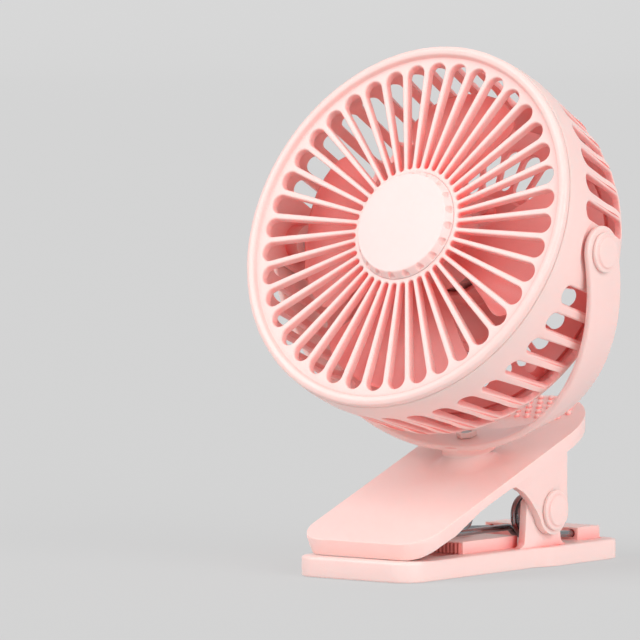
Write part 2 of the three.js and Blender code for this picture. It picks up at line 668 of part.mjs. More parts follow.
/** One blade: a screw-like sheet with a rounded tip, its middle straight up. */
function blade() {
  const columns = 6;
  const root = HUB_RADIUS - HUB_WALL / 2;
  const radii = [0, 0.3, 0.6, 0.8, 0.92, 0.985].map((part) => root + part * (BLADE_TIP_RADIUS - root));
  const roundFrom = BLADE_TIP_RADIUS - 12;
  const positions = [];
  const indices = [];
  const rowLength = columns + 1;
  [1, -1].forEach((face) => {
    radii.forEach((radius) => {
      const along = (radius - HUB_RADIUS) / (BLADE_TIP_RADIUS - HUB_RADIUS);
      const wide = BLADE_ROOT_HALF_SPAN + (BLADE_HALF_SPAN - BLADE_ROOT_HALF_SPAN) * along;
      const past = Math.max(0, (radius - roundFrom) / (BLADE_TIP_RADIUS - roundFrom));
      const half = wide * Math.sqrt(1 - past ** 3);
      for (let i = 0; i <= columns; i += 1) {
        const across = (2 * i) / columns - 1;
        const angle = radians(half * across);
        const rise = BLADE_RISE * ((half * across) / BLADE_HALF_SPAN) - 1.5 * (1 - across ** 2) * along;
        positions.push(
          radius * Math.sin(angle),
          radius * Math.cos(angle),
          -BLADE_MIDDLE_DEPTH + rise + (face * BLADE_THICKNESS) / 2,
        );
      }
    });
  });
  const layer = radii.length * rowLength;
  for (let row = 0; row < radii.length - 1; row += 1) {
    for (let i = 0; i < columns; i += 1) {
      const a = row * rowLength + i;
      const b = a + rowLength;
      indices.push(a, b, b + 1, a, b + 1, a + 1);
      indices.push(layer + a, layer + b + 1, layer + b, layer + a, layer + a + 1, layer + b + 1);
    }
  }
  const edge = [
    ...Array.from({ length: columns }, (_, i) => i),
    ...Array.from({ length: radii.length - 1 }, (_, row) => row * rowLength + columns),
    ...Array.from({ length: columns }, (_, i) => layer - 1 - i),
    ...Array.from({ length: radii.length - 1 }, (_, row) => (radii.length - 1 - row) * rowLength),
  ];
  edge.forEach((a, i) => {
    const b = edge[(i + 1) % edge.length];
    indices.push(a, b, layer + b, a, layer + b, layer + a);
  });
  const geometry = new THREE.BufferGeometry();
  geometry.setAttribute('position', new THREE.Float32BufferAttribute(positions, 3));
  geometry.setIndex(indices);
  return toGeometry(toSolid(geometry));
}

function impeller() {
  const rear = -HUB_FRONT_DEPTH - HUB_LENGTH;
  const hub = turned([
    [0, -HUB_FRONT_DEPTH],
    [HUB_RADIUS - 4, -HUB_FRONT_DEPTH - 0.4],
    [HUB_RADIUS - 1, -HUB_FRONT_DEPTH - 2],
    [HUB_RADIUS, -HUB_FRONT_DEPTH - 5],
    [HUB_RADIUS, rear],
    [HUB_RADIUS - HUB_WALL, rear],
    [HUB_RADIUS - HUB_WALL, -HUB_FRONT_DEPTH - 4],
    [HUB_BOSS_RADIUS, -HUB_FRONT_DEPTH - 2.5],
    [HUB_BOSS_RADIUS, rear + 2],
    [0, rear + 2],
  ], FACETS_MEDIUM);
  const bore = rod(SHAFT_RADIUS + SEAT_GAP, rear, -HUB_FRONT_DEPTH - 3, FACETS_SCREW);
  const blades = evenly(BLADE_COUNT, BLADE_PHASE).map((angle) => blade().rotateZ(radians(angle)));
  return cut(join(hub, ...blades), bore);
}

function podShell() {
  const shell = turned([
    [POD_RADIUS - POD_WALL, podFront],
    [POD_RADIUS, podFront],
    [POD_RADIUS, podRear + 3],
    [POD_RADIUS - 1, podRear + 1],
    [POD_RADIUS - 3, podRear],
    [0, podRear],
    [0, podFloor],
    [POD_RADIUS - POD_WALL, podFloor],
  ], FACETS_SHELL);
  const post = rod(SCREW_BOSS_RADIUS, podRear + 1, podFront - 0.2, FACETS_SCREW).translate(0, POD_SCREW_CIRCLE, 0);
  const hole = rod(screwHole, podRear - 1, podFront + 1, FACETS_SCREW).translate(0, POD_SCREW_CIRCLE, 0);
  const sinkEnd = podRear + POD_SCREW_SINK + SCREW_HEAD_HEIGHT;
  const sink = rod(SCREW_HEAD_RADIUS + SEAT_GAP, podRear - 1, sinkEnd, FACETS_SCREW)
    .translate(0, POD_SCREW_CIRCLE, 0);
  const buttonHole = rod(BUTTON_RADIUS + SEAT_GAP, podRear - 1, podFloor + 1, FACETS_SMALL)
    .translate(0, -BUTTON_DROP, 0);
  const lensHole = rod(LENS_RADIUS + SEAT_GAP, podRear - 1, podFloor + 1, FACETS_SCREW)
    .translate(LENS_ASIDE, -BUTTON_DROP, 0);
  const socketHole = block(
    [-SOCKET_WIDTH / 2 - SEAT_GAP, -POD_RADIUS - 1, boardRear - SOCKET_HEIGHT - 2 * SEAT_GAP],
    [SOCKET_WIDTH / 2 + SEAT_GAP, -POD_RADIUS + POD_WALL + 1, boardRear],
  );
  return cut(
    join(shell, aroundAxis(post, POD_SCREW_ANGLES)),
    aroundAxis(hole, POD_SCREW_ANGLES),
    aroundAxis(sink, POD_SCREW_ANGLES),
    buttonHole,
    lensHole,
    socketHole,
  );
}

function circuitBoard() {
  const tongue = SOCKET_WIDTH / 2 + 2;
  const reach = POD_RADIUS - POD_WALL - 1.2;
  const meet = Math.asin(tongue / BOARD_RADIUS) * THREE.MathUtils.RAD2DEG;
  const board = slab([
    ...arc(0, 0, BOARD_RADIUS, -90 + meet, 270 - meet, 32),
    [-tongue, -reach],
    [tongue, -reach],
  ], boardRear, boardFront);
  const half = SWITCH_SIDE / 2;
  const tactSwitch = block(
    [-half, -BUTTON_DROP - half, boardRear - SWITCH_HEIGHT],
    [half, -BUTTON_DROP + half, boardRear + 0.2],
  );
  return join(board, tactSwitch);
}

function batteryCell() {
  const corner = 2;
  const x = CELL_WIDTH / 2 - corner;
  const [low, high] = [corner, CELL_HEIGHT - corner];
  const rear = boardRear - SEAT_GAP - CELL_THICKNESS;
  return slab([
    ...arc(x, high, corner, 0, 90, 3),
    ...arc(-x, high, corner, 90, 180, 3),
    ...arc(-x, low, corner, 180, 270, 3),
    ...arc(x, low, corner, 270, 360, 3),
  ], rear, rear + CELL_THICKNESS);
}

function chargeSocket() {
  const rear = boardRear - SEAT_GAP - SOCKET_HEIGHT;
  const outer = -POD_RADIUS + POD_WALL - 0.4;
  const wall = 0.5;
  const shell = block(
    [-SOCKET_WIDTH / 2, outer, rear],
    [SOCKET_WIDTH / 2, outer + SOCKET_LENGTH, rear + SOCKET_HEIGHT],
  );
  const mouth = block(
    [-SOCKET_WIDTH / 2 + wall, outer - 1, rear + wall],
    [SOCKET_WIDTH / 2 - wall, outer + SOCKET_LENGTH - 1, rear + SOCKET_HEIGHT - wall],
  );
  const tongue = block(
    [-SOCKET_WIDTH / 2 + 2, outer + 0.8, rear + SOCKET_HEIGHT / 2 - 0.3],
    [SOCKET_WIDTH / 2 - 2, outer + SOCKET_LENGTH - 0.5, rear + SOCKET_HEIGHT / 2 + 0.3],
  );
  return join(cut(shell, mouth), tongue);
}

function powerButton() {
  const flangeRear = podFloor + SEAT_GAP;
  const stemFront = boardRear - SWITCH_HEIGHT - SEAT_GAP - BUTTON_TRAVEL;
  return turned([
    [0, podRear - BUTTON_PROUD],
    [BUTTON_RADIUS - 1, podRear - BUTTON_PROUD + 0.2],
    [BUTTON_RADIUS, podRear - BUTTON_PROUD + 0.8],
    [BUTTON_RADIUS, flangeRear],
    [BUTTON_RADIUS + 1.4, flangeRear],
    [BUTTON_RADIUS + 1.4, flangeRear + 1],
    [2, flangeRear + 1],
    [2, stemFront],
    [0, stemFront],
  ], FACETS_SMALL).translate(0, -BUTTON_DROP, 0);
}

function indicatorLens() {
  const flangeRear = podFloor + SEAT_GAP;
  return turned([
    [0, podRear - 0.2],
    [LENS_RADIUS, podRear],
    [LENS_RADIUS, flangeRear],
    [LENS_RADIUS + 0.9, flangeRear],
    [LENS_RADIUS + 0.9, flangeRear + 1],
    [0, flangeRear + 1],
  ], FACETS_SCREW).translate(LENS_ASIDE, -BUTTON_DROP, 0);
}

// ---------------------------------------------------------------- yoke, z up along the yoke from the pivots


const yokeUnderside = -YOKE_DROP;
const neckFootZ = yokeUnderside - NECK_FOOT_HEIGHT;
const neckWasherTop = neckFootZ - SEAT_GAP;
const neckBossTop = neckWasherTop - NECK_WASHER_HEIGHT - SEAT_GAP;
const neckBossBottom = neckBossTop - 7;
const nutBottom = yokeUnderside + YOKE_THICKNESS + SEAT_GAP;
const pivotY = NECK_Y - YOKE_DROP * Math.sin(radians(YOKE_LEAN));
const pivotZ = NECK_Z + YOKE_DROP * Math.cos(radians(YOKE_LEAN));
const neckPlace = new THREE.Matrix4().makeRotationX(radians(YOKE_LEAN)).setPosition(0, pivotY, pivotZ);

/** Half of a U: a rounded arc from one pivot down to the foot and up to the other. */
function archPoints(halfWidth, drop, steps) {
  return Array.from({ length: steps + 1 }, (_, i) => {
    const angle = (Math.PI * i) / steps;
    const across = Math.cos(angle);
    const down = Math.sin(angle);
    return [
      halfWidth * Math.sign(across) * Math.abs(across) ** (2 / YOKE_POWER),
      -drop * Math.abs(down) ** (2 / YOKE_POWER),
    ];
  });
}

function yokeBand() {
  const armRound = YOKE_ARM_WIDTH / 2;
  const section = [
    [YOKE_HALF_WIDTH, armRound + 1],
    ...archPoints(YOKE_HALF_WIDTH, YOKE_DROP, 28),
    [-YOKE_HALF_WIDTH, armRound + 1],
    [-yokeInner, armRound + 1],
    ...archPoints(yokeInner, YOKE_DROP - YOKE_THICKNESS, 28).reverse(),
    [yokeInner, armRound + 1],
  ];
  const band = slab(section, -YOKE_FOOT_WIDTH, YOKE_FOOT_WIDTH).rotateX(Math.PI / 2);
  const side = sideSlab([
    ...arc(0, 0, armRound, 0, 180, 14),
    [-YOKE_FOOT_WIDTH / 2, -YOKE_DROP - 1],
    [YOKE_FOOT_WIDTH / 2, -YOKE_DROP - 1],
  ], -YOKE_HALF_WIDTH - 1, YOKE_HALF_WIDTH + 1);
  const foot = rod(NECK_RADIUS, neckFootZ, yokeUnderside + YOKE_THICKNESS / 2, FACETS_MEDIUM);
  const hole = rod(NECK_SCREW_RADIUS + SEAT_GAP, neckFootZ - 1, yokeUnderside + YOKE_THICKNESS + 1, FACETS_SMALL);
  const bore = crossRod(PIVOT_PIN_RADIUS + SEAT_GAP, -YOKE_HALF_WIDTH - 1, YOKE_HALF_WIDTH + 1, FACETS_SMALL);
  return cut(join(common(band, side), foot), hole, bore);
}

function pivotPin(side) {
  const inner = pivotPadX - PIVOT_BOSS_LENGTH + SEAT_GAP;
  return crossRod(PIVOT_PIN_RADIUS, side * inner, side * YOKE_HALF_WIDTH, FACETS_SMALL);
}

/** A round cap with a raised middle, its seat at z = 0 and its face up. */
function steppedCap(radius, height, facets) {
  return turned([
    [0, 0],
    [radius, 0],
    [radius, height * 0.5],
    [radius * 0.8, height * 0.65],
    [radius * 0.72, height],
    [0, height],
  ], facets);
}

/** A cap on a face that looks along X: side is 1 for the right and -1 for the left. */
const sideCap = (radius, height, x, side) => (
  steppedCap(radius, height, FACETS_MEDIUM).rotateY((side * Math.PI) / 2).translate(side * x, 0, 0)
);

const pivotWasher = (side) => ring(
  PIVOT_PIN_RADIUS + SEAT_GAP,
  PIVOT_WASHER_RADIUS,
  pivotPadX + SEAT_GAP,
  yokeInner - SEAT_GAP,
  FACETS_SMALL,
).rotateY((side * Math.PI) / 2);

const neckWasher = () => ring(
  NECK_SCREW_RADIUS + SEAT_GAP,
  NECK_WASHER_RADIUS,
  neckWasherTop - NECK_WASHER_HEIGHT,
  neckWasherTop,
  FACETS_SMALL,
);

function neckScrew() {
  const headTop = neckBossBottom - SEAT_GAP;
  return turned([
    [0, headTop - NECK_HEAD_HEIGHT],
    [NECK_HEAD_RADIUS, headTop - NECK_HEAD_HEIGHT],
    [NECK_HEAD_RADIUS, headTop],
    [NECK_SCREW_RADIUS, headTop],
    [NECK_SCREW_RADIUS, nutBottom + NECK_NUT_HEIGHT - 0.2],
    [0, nutBottom + NECK_NUT_HEIGHT - 0.2],
  ], FACETS_SMALL);
}

function neckNut() {
  const body = rod(NECK_NUT_RADIUS, nutBottom, nutBottom + NECK_NUT_HEIGHT, 6);
  const bore = rod(NECK_SCREW_RADIUS + SEAT_GAP, nutBottom - 1, nutBottom + NECK_NUT_HEIGHT + 1, FACETS_SMALL);
  return cut(body, bore);
}

// ---------------------------------------------------------------- clip

const slope = Math.tan(radians(JAW_SLOPE));
const jawTop = (y) => JAW_TOP_AT_ORIGIN + slope * y;
const skinDrop = JAW_SKIN / Math.cos(radians(JAW_SLOPE));
const jawRearY = JAW_REAR_ROUND_Y + JAW_REAR_LENGTH;
const jawLipZ = PLATE_HEIGHT + SEAT_GAP;
const earInnerX = JAW_HALF_WIDTH - EAR_THICKNESS;
const lugOuterX = earInnerX - SEAT_GAP;
const lowerGripBase = PLATE_HEIGHT - GRIP_SINK;
const coilY = PIN_Y;
const coilZ = PIN_Z - COIL_DROP;
const legX = COIL_OUTER_X - (COIL_TURNS + 1 / 8) * COIL_PITCH;

/** Plan of the upper jaw, drawn in by an inset: round front corners and a rounded rear end. */
function jawPlan(inset) {
  const half = JAW_HALF_WIDTH - inset;
  const corner = JAW_FRONT_CORNER - inset;
  const front = JAW_FRONT_Y + inset;
  const rear = Array.from({ length: 13 }, (_, i) => {
    const angle = (Math.PI * i) / 12;
    return [half * Math.cos(angle), JAW_REAR_ROUND_Y + (JAW_REAR_LENGTH - inset) * Math.sin(angle)];
  });
  return [
    ...arc(-half + corner, front + corner, corner, 180, 270, 6),
    ...arc(half - corner, front + corner, corner, 270, 360, 6),
    ...rear,
  ];
}

/** A point of the jaw's side, at a depth under its top face. */
const underTop = (y, depth) => [y, jawTop(y) - depth];

/** The jaw's plan as a solid from a foot to a top, drawn in towards the foot of its lip. */
function jawBlank(inset, foot, top) {
  const ringAt = (drawnIn, z) => jawPlan(inset + drawnIn).map(([x, y]) => [x, y, z]);
  return toGeometry(wasm.Manifold.hull([
    ...ringAt(JAW_LIP_INSET, foot),
    ...ringAt(JAW_LIP_INSET, jawLipZ),
    ...ringAt(0, jawLipZ + JAW_LIP_TAPER),
    ...ringAt(0, top),
  ]));
}

function upperJaw() {
  const lipBack = JAW_FRONT_Y + JAW_LIP_LENGTH;
  const earFront = PIN_Y - EAR_REACH;
  const earRear = PIN_Y + EAR_REAR;
  const body = sideSlab([
    underTop(JAW_FRONT_Y - 1, 0),
    [JAW_FRONT_Y - 1, jawLipZ],
    ...JAW_LIP_CURVE.map(([along, rise]) => [JAW_FRONT_Y + along, jawLipZ + rise]),
    underTop(JAW_EDGE_FRONT_Y, JAW_EDGE_DEPTH),
    underTop(JAW_WAIST_FRONT_Y, JAW_WAIST_DEPTH),
    underTop(earFront - EAR_FILLET, JAW_WAIST_DEPTH),
    underTop(earRear, JAW_EDGE_DEPTH),
    underTop(jawRearY + 1, JAW_EDGE_DEPTH),
    underTop(jawRearY + 1, 0),
  ], -JAW_HALF_WIDTH - 1, JAW_HALF_WIDTH + 1);
  const tall = jawTop(jawRearY) + 5;
  const solid = common(body, jawBlank(0, 0, tall));
  const under = sideSlab([
    [lipBack, 0],
    underTop(lipBack, skinDrop),
    underTop(jawRearY, skinDrop),
    [jawRearY, 0],
  ], -JAW_HALF_WIDTH, JAW_HALF_WIDTH);
  const hollow = common(under, jawBlank(JAW_SKIRT, -1, tall));
  const earOutline = [
    underTop(earFront - EAR_FILLET, JAW_WAIST_DEPTH),
    underTop(earFront, JAW_WAIST_DEPTH + 0.8),
    ...EAR_CURVE.map(([along, up]) => [PIN_Y + along, PIN_Z + up]),
    ...arc(PIN_Y, PIN_Z, EAR_BOSS_RADIUS, 200, 360, 10),
    [earRear - 0.1, PIN_Z + 8],
    underTop(earRear - 0.1, JAW_EDGE_DEPTH - 2),
    underTop(earFront - EAR_FILLET, 2),
  ];
  const ears = [earInnerX, -JAW_HALF_WIDTH].map((x) => sideSlab(earOutline, x, x + EAR_THICKNESS));
  const boss = rod(NECK_RADIUS - 0.6, neckBossBottom, neckBossTop, FACETS_MEDIUM).applyMatrix4(neckPlace);
  const hole = rod(NECK_SCREW_RADIUS + SEAT_GAP, neckBossBottom - 2, neckBossTop + 2, FACETS_SMALL)
    .applyMatrix4(neckPlace);
  const pinHole = crossRod(PIN_RADIUS + SEAT_GAP, -JAW_HALF_WIDTH - 1, JAW_HALF_WIDTH + 1, FACETS_SMALL)
    .translate(0, PIN_Y, PIN_Z);
  const reach = WIRE_RADIUS + SEAT_GAP;
  const hookFront = FRONT_LEG_END_Y - reach - HOOK_WALL;
  const hookSeat = FRONT_LEG_Z - reach;
  const hook = sideSlab([
    underTop(hookFront, skinDrop - 1),
    [hookFront, hookSeat - HOOK_FLOOR],
    [FRONT_LEG_END_Y + reach, hookSeat - HOOK_FLOOR],
    [FRONT_LEG_END_Y + reach, hookSeat],
    [FRONT_LEG_END_Y - reach, hookSeat],
    underTop(FRONT_LEG_END_Y - reach, skinDrop - 1),
  ], -HOOK_HALF_WIDTH, HOOK_HALF_WIDTH);
  const shell = join(cut(solid, hollow), ...ears, boss, hook, gripBumps());
  return cut(shell, hole, pinHole);
}

/** The staggered bumps that the thumb presses, on the rear of the upper jaw. */
function gripBumps() {
  const bumps = [];
  for (let row = 0; row < BUMP_ROWS; row += 1) {
    const y = BUMP_FIRST_Y + row * BUMP_PITCH_Y;
    const share = (y - JAW_REAR_ROUND_Y) / JAW_REAR_LENGTH;
    const room = JAW_HALF_WIDTH * Math.sqrt(Math.max(0, 1 - share ** 2)) - BUMP_EDGE_ROOM;
    const shift = (row % 2) * 0.5;
    const most = Math.ceil(BUMP_FIELD_HALF_WIDTH / BUMP_PITCH_X) + 1;
    for (let column = -most; column <= most; column += 1) {
      const x = (column + shift) * BUMP_PITCH_X + BUMP_SHIFT_X;
      if (Math.abs(x) > Math.min(room, BUMP_FIELD_HALF_WIDTH)) {
        continue;
      }
      const bump = turned([[0, -0.4], [BUMP_RADIUS, -0.4], [0, BUMP_HEIGHT]], 6);
      bumps.push(bump.rotateX(radians(JAW_SLOPE)).translate(x, y, jawTop(y)));
    }
  }
  return mergeGeometries(bumps);
}

/** A pad with ribs across it: a ridged outline in Y and Z, facing up or down. */
function ribbedPad(front, rear, base, height, ribHeight, facing) {
  const step = (rear - front) / GRIP_RIBS;
  const face = base + facing * height;
  const crest = face + facing * ribHeight;
  const ridges = Array.from({ length: GRIP_RIBS }, (_, i) => {
    const y = front + i * step;
    return [[y + 0.2 * step, face], [y + 0.35 * step, crest], [y + 0.65 * step, crest], [y + 0.8 * step, face]];
  });
  const outline = [[front, base], [front, face], ...ridges.flat(), [rear, face], [rear, base]];
  return sideSlab(outline, -GRIP_HALF_WIDTH, GRIP_HALF_WIDTH);
}

/** The pad under the upper jaw, set along its slope just below the skin. */
function upperGrip() {
  const slant = 1 / Math.cos(radians(JAW_SLOPE));
  const middle = (UPPER_GRIP_FRONT_Y + UPPER_GRIP_REAR_Y) / 2;
  const half = ((UPPER_GRIP_REAR_Y - UPPER_GRIP_FRONT_Y) / 2) * slant;
  const pad = ribbedPad(-half, half, 0, GRIP_THICKNESS - GRIP_RIB_HEIGHT, GRIP_RIB_HEIGHT, -1);
  const seatZ = jawTop(middle) - skinDrop - SEAT_GAP * slant;
  return pad.rotateX(radians(JAW_SLOPE)).translate(0, middle, seatZ);
}

/** Plan of the lower plate: it widens over a soft step towards the rear. */
function platePlan() {
  const side = Array.from({ length: 7 }, (_, i) => {
    const t = i / 6;
    const blend = t * t * (3 - 2 * t);
    return [
      PLATE_HALF_WIDTH + (PLATE_REAR_HALF_WIDTH - PLATE_HALF_WIDTH) * blend,
      PLATE_STEP_Y + PLATE_STEP_LENGTH * t,
    ];
  });
  const frontX = PLATE_HALF_WIDTH - PLATE_FRONT_CORNER;
  const rearX = PLATE_REAR_HALF_WIDTH - PLATE_REAR_CORNER;
  const right = [
    ...arc(frontX, PLATE_FRONT_Y + PLATE_FRONT_CORNER, PLATE_FRONT_CORNER, 270, 360, 6),
    ...side,
    ...arc(rearX, PLATE_REAR_Y - PLATE_REAR_CORNER, PLATE_REAR_CORNER, 0, 90, 6),
  ];
  const left = right.map(([x, y]) => [-x, y]).reverse();
  return [...right, ...left];
}

function lowerJaw() {
  const plate = slab(platePlan(), FOOT_PROUD, PLATE_HEIGHT);
  const platform = block(
    [-PLATFORM_HALF_WIDTH, PLATFORM_FRONT_Y, PLATE_HEIGHT - 1],
    [PLATFORM_HALF_WIDTH, PLATFORM_REAR_Y, PLATE_HEIGHT + PLATFORM_HEIGHT],
  );
  const rearBlock = block(
    [-REAR_BLOCK_HALF_WIDTH, REAR_BLOCK_FRONT_Y, PLATE_HEIGHT - 1],
    [REAR_BLOCK_HALF_WIDTH, REAR_BLOCK_REAR_Y, PLATE_HEIGHT + REAR_BLOCK_HEIGHT],
  );
  const lugOutline = [
    [LUG_BASE_FRONT_Y, PLATE_HEIGHT - 1],
    [LUG_BASE_REAR_Y, PLATE_HEIGHT - 1],
    [LUG_BASE_REAR_Y, PLATE_HEIGHT + 0.4],
    [LUG_BASE_REAR_Y - LUG_FLARE * 0.7, PLATE_HEIGHT + 1.4],
    [LUG_BASE_REAR_Y - LUG_FLARE, PLATE_HEIGHT + 4],
    ...arc(PIN_Y, PIN_Z, LUG_BOSS_RADIUS, 0, 70, 5),
    [PIN_Y - 8, PIN_Z + LUG_BOSS_RADIUS * 0.9],
    [LUG_BASE_FRONT_Y + LUG_FLARE + 1.2, PIN_Z + 4],
    [LUG_BASE_FRONT_Y + LUG_FLARE, PLATE_HEIGHT + 4],
    [LUG_BASE_FRONT_Y + LUG_FLARE * 0.7, PLATE_HEIGHT + 1.4],
    [LUG_BASE_FRONT_Y, PLATE_HEIGHT + 0.4],
  ];
  const lugs = [lugOuterX - LUG_THICKNESS, -lugOuterX].map((x) => sideSlab(lugOutline, x, x + LUG_THICKNESS));
  const pinHole = crossRod(PIN_RADIUS + SEAT_GAP, -JAW_HALF_WIDTH, JAW_HALF_WIDTH, FACETS_SMALL)
    .translate(0, PIN_Y, PIN_Z);
  const legHoleDepth = REAR_LEG_END_Y - REAR_BLOCK_FRONT_Y + 0.5;
  const legHoles = [1, -1].map((side) => rod(WIRE_RADIUS + SEAT_GAP, -1, legHoleDepth, 12)
    .rotateX(-Math.PI / 2)
    .translate(side * REAR_LEG_X, REAR_BLOCK_FRONT_Y, REAR_LEG_END_Z));
  const footRecess = block(
    [-FOOT_HALF_WIDTH - SEAT_GAP, FOOT_FRONT_Y - SEAT_GAP, -1],
    [FOOT_HALF_WIDTH + SEAT_GAP, FOOT_REAR_Y + SEAT_GAP, FOOT_THICKNESS + SEAT_GAP],
  );
  const gripRecess = block(
    [-GRIP_HALF_WIDTH - SEAT_GAP, LOWER_GRIP_FRONT_Y - SEAT_GAP, lowerGripBase - SEAT_GAP],
    [GRIP_HALF_WIDTH + SEAT_GAP, LOWER_GRIP_REAR_Y + SEAT_GAP, PLATE_HEIGHT + 1],
  );
  return cut(join(plate, platform, rearBlock, ...lugs), pinHole, ...legHoles, footRecess, gripRecess);
}

/** The pad in the lower plate, with a raised end that stands against the platform. */
function lowerGrip() {
  const pad = ribbedPad(
    LOWER_GRIP_FRONT_Y,
    LOWER_GRIP_REAR_Y,
    lowerGripBase,
    GRIP_THICKNESS - GRIP_RIB_HEIGHT,
    GRIP_RIB_HEIGHT,
    1,
  );
  const stopRear = PLATFORM_FRONT_Y - SEAT_GAP;
  const stopTop = PLATE_HEIGHT + PLATFORM_HEIGHT - GRIP_STOP_DROP;
  const stop = block(
    [-GRIP_STOP_HALF_WIDTH, stopRear - GRIP_STOP_THICKNESS, PLATE_HEIGHT + SEAT_GAP],
    [GRIP_STOP_HALF_WIDTH, stopRear, stopTop],
  );
  return join(pad, stop);
}

const footPad = () => block([-FOOT_HALF_WIDTH, FOOT_FRONT_Y, 0], [FOOT_HALF_WIDTH, FOOT_REAR_Y, FOOT_THICKNESS]);

/** Centre line of the right half of the spring, from its rear end to the middle of its front bar. */
function springPath() {
  const path = [
    new THREE.Vector3(REAR_LEG_X, REAR_LEG_END_Y, REAR_LEG_END_Z),
    new THREE.Vector3(REAR_LEG_X, REAR_BLOCK_FRONT_Y - WIRE_RADIUS, REAR_LEG_END_Z),
  ];
  const steps = Math.round((COIL_TURNS + 1 / 8) * STEPS_PER_CURL);
  for (let i = 0; i <= steps; i += 1) {
    const turns = i / STEPS_PER_CURL;
    const angle = radians(-90 - 360 * turns);
    path.push(new THREE.Vector3(
      COIL_OUTER_X - turns * COIL_PITCH,
      coilY + COIL_RADIUS * Math.cos(angle),
      coilZ + COIL_RADIUS * Math.sin(angle),
    ));
  }
  const last = path[path.length - 1];
  const climb = FRONT_LEG_Z - last.z;
  path.push(new THREE.Vector3(legX, last.y - Math.abs(climb), FRONT_LEG_Z));
  path.push(new THREE.Vector3(legX, FRONT_LEG_END_Y + 3, FRONT_LEG_Z));
  path.push(new THREE.Vector3(legX - 0.9, FRONT_LEG_END_Y + 0.9, FRONT_LEG_Z));
  path.push(new THREE.Vector3(legX - 3, FRONT_LEG_END_Y, FRONT_LEG_Z));
  return path;
}

/** Least room between stretches of a wire that lie apart along it. */
function leastGap(path, radius) {
  const samples = [];
  let run = 0;
  for (let i = 0; i < path.length - 1; i += 1) {
    const length = path[i].distanceTo(path[i + 1]);
    const parts = Math.max(1, Math.ceil(length));
    for (let k = 0; k < parts; k += 1) {
      samples.push({ run: run + (length * k) / parts, at: path[i].clone().lerp(path[i + 1], k / parts) });
    }
    run += length;
  }
  let least = Infinity;
  samples.forEach((one, i) => samples.slice(i + 1).forEach((other) => {
    if (other.run - one.run > 6 * radius) {
      least = Math.min(least, one.at.distanceTo(other.at) - 2 * radius);
    }
  }));
  return least;
}

function torsionSpring() {
  const right = springPath();
  const left = right.map((point) => new THREE.Vector3(-point.x, point.y, point.z)).reverse();
  const path = [...right, ...left];
  console.log(`torsion spring: least gap to itself ${leastGap(path, WIRE_RADIUS).toFixed(2)} mm`);
  return wire(path, WIRE_RADIUS, WIRE_SIDES);
}

// ---------------------------------------------------------------- assembly

const fan = new THREE.Group();

const clip = new THREE.Group();
addPiece(clip, 'lower_jaw', lowerJaw(), shellPink);
addPiece(clip, 'lower_grip_pad', lowerGrip(), gripPink);
addPiece(clip, 'foot_pad', footPad(), rubberGrey);
addPiece(clip, 'torsion_spring', torsionSpring(), springBlack);
addPiece(clip, 'upper_jaw', upperJaw(), shellPink);
addPiece(clip, 'upper_grip_pad', upperGrip(), gripPink);
[['right', 1], ['left', -1]].forEach(([word, side]) => {
  const halfPin = crossRod(PIN_RADIUS, side * PIN_INNER_X, side * JAW_HALF_WIDTH, FACETS_SMALL);
  addPiece(clip, `clip_pin_${word}`, halfPin.translate(0, PIN_Y, PIN_Z), steel);
  const cap = sideCap(PIN_CAP_RADIUS, PIN_CAP_HEIGHT, JAW_HALF_WIDTH + SEAT_GAP, side).translate(0, PIN_Y, PIN_Z);
  addPiece(clip, `pin_cap_${word}`, cap, shellPink);
});
fan.add(clip);

const yoke = new THREE.Group();
yoke.position.set(0, pivotY, pivotZ);
yoke.rotation.x = radians(YOKE_LEAN);
addPiece(yoke, 'yoke', yokeBand(), shellPink);
addPiece(yoke, 'neck_washer', neckWasher(), rubberGrey);
addPiece(yoke, 'neck_screw', neckScrew(), steel);
addPiece(yoke, 'neck_nut', neckNut(), steel);
[['right', 1], ['left', -1]].forEach(([word, side]) => {
  addPiece(yoke, `pivot_pin_${word}`, pivotPin(side), steel);
  const cap = sideCap(PIVOT_CAP_RADIUS, PIVOT_CAP_HEIGHT, YOKE_HALF_WIDTH + SEAT_GAP, side);
  addPiece(yoke, `pivot_cap_${word}`, cap, shellPink);
  addPiece(yoke, `pivot_washer_${word}`, pivotWasher(side), rubberGrey);
});
fan.add(yoke);

const head = new THREE.Group();
head.rotation.x = radians(90 - HEAD_TILT);
head.position.set(
  0,
  pivotY - PIVOT_DEPTH * Math.cos(radians(HEAD_TILT)),
  pivotZ + PIVOT_DEPTH * Math.sin(radians(HEAD_TILT)),
);
addPiece(head, 'front_cover', frontCover(), shellPink);
addPiece(head, 'front_disc', discCap(), discPink);
addPiece(head, 'rear_housing', rearHousing(), shellPink);
addPiece(head, 'rear_grille', rearGrille(), bladePink);
addPiece(head, 'motor', motorCan(), steel);
addPiece(head, 'motor_shaft', rod(SHAFT_RADIUS, motorFront - 9.5, -HUB_FRONT_DEPTH - 3.3, FACETS_SCREW), steel);
addPiece(head, 'impeller', impeller(), bladePink);
addPiece(head, 'pod_shell', podShell(), shellPink);
addPiece(head, 'circuit_board', circuitBoard(), boardGreen);
addPiece(head, 'battery_cell', batteryCell(), cellBlue);
addPiece(head, 'charge_socket', chargeSocket(), steel);
addPiece(head, 'power_button', powerButton(), discPink);
addPiece(head, 'indicator_lens', indicatorLens(), clearLens);

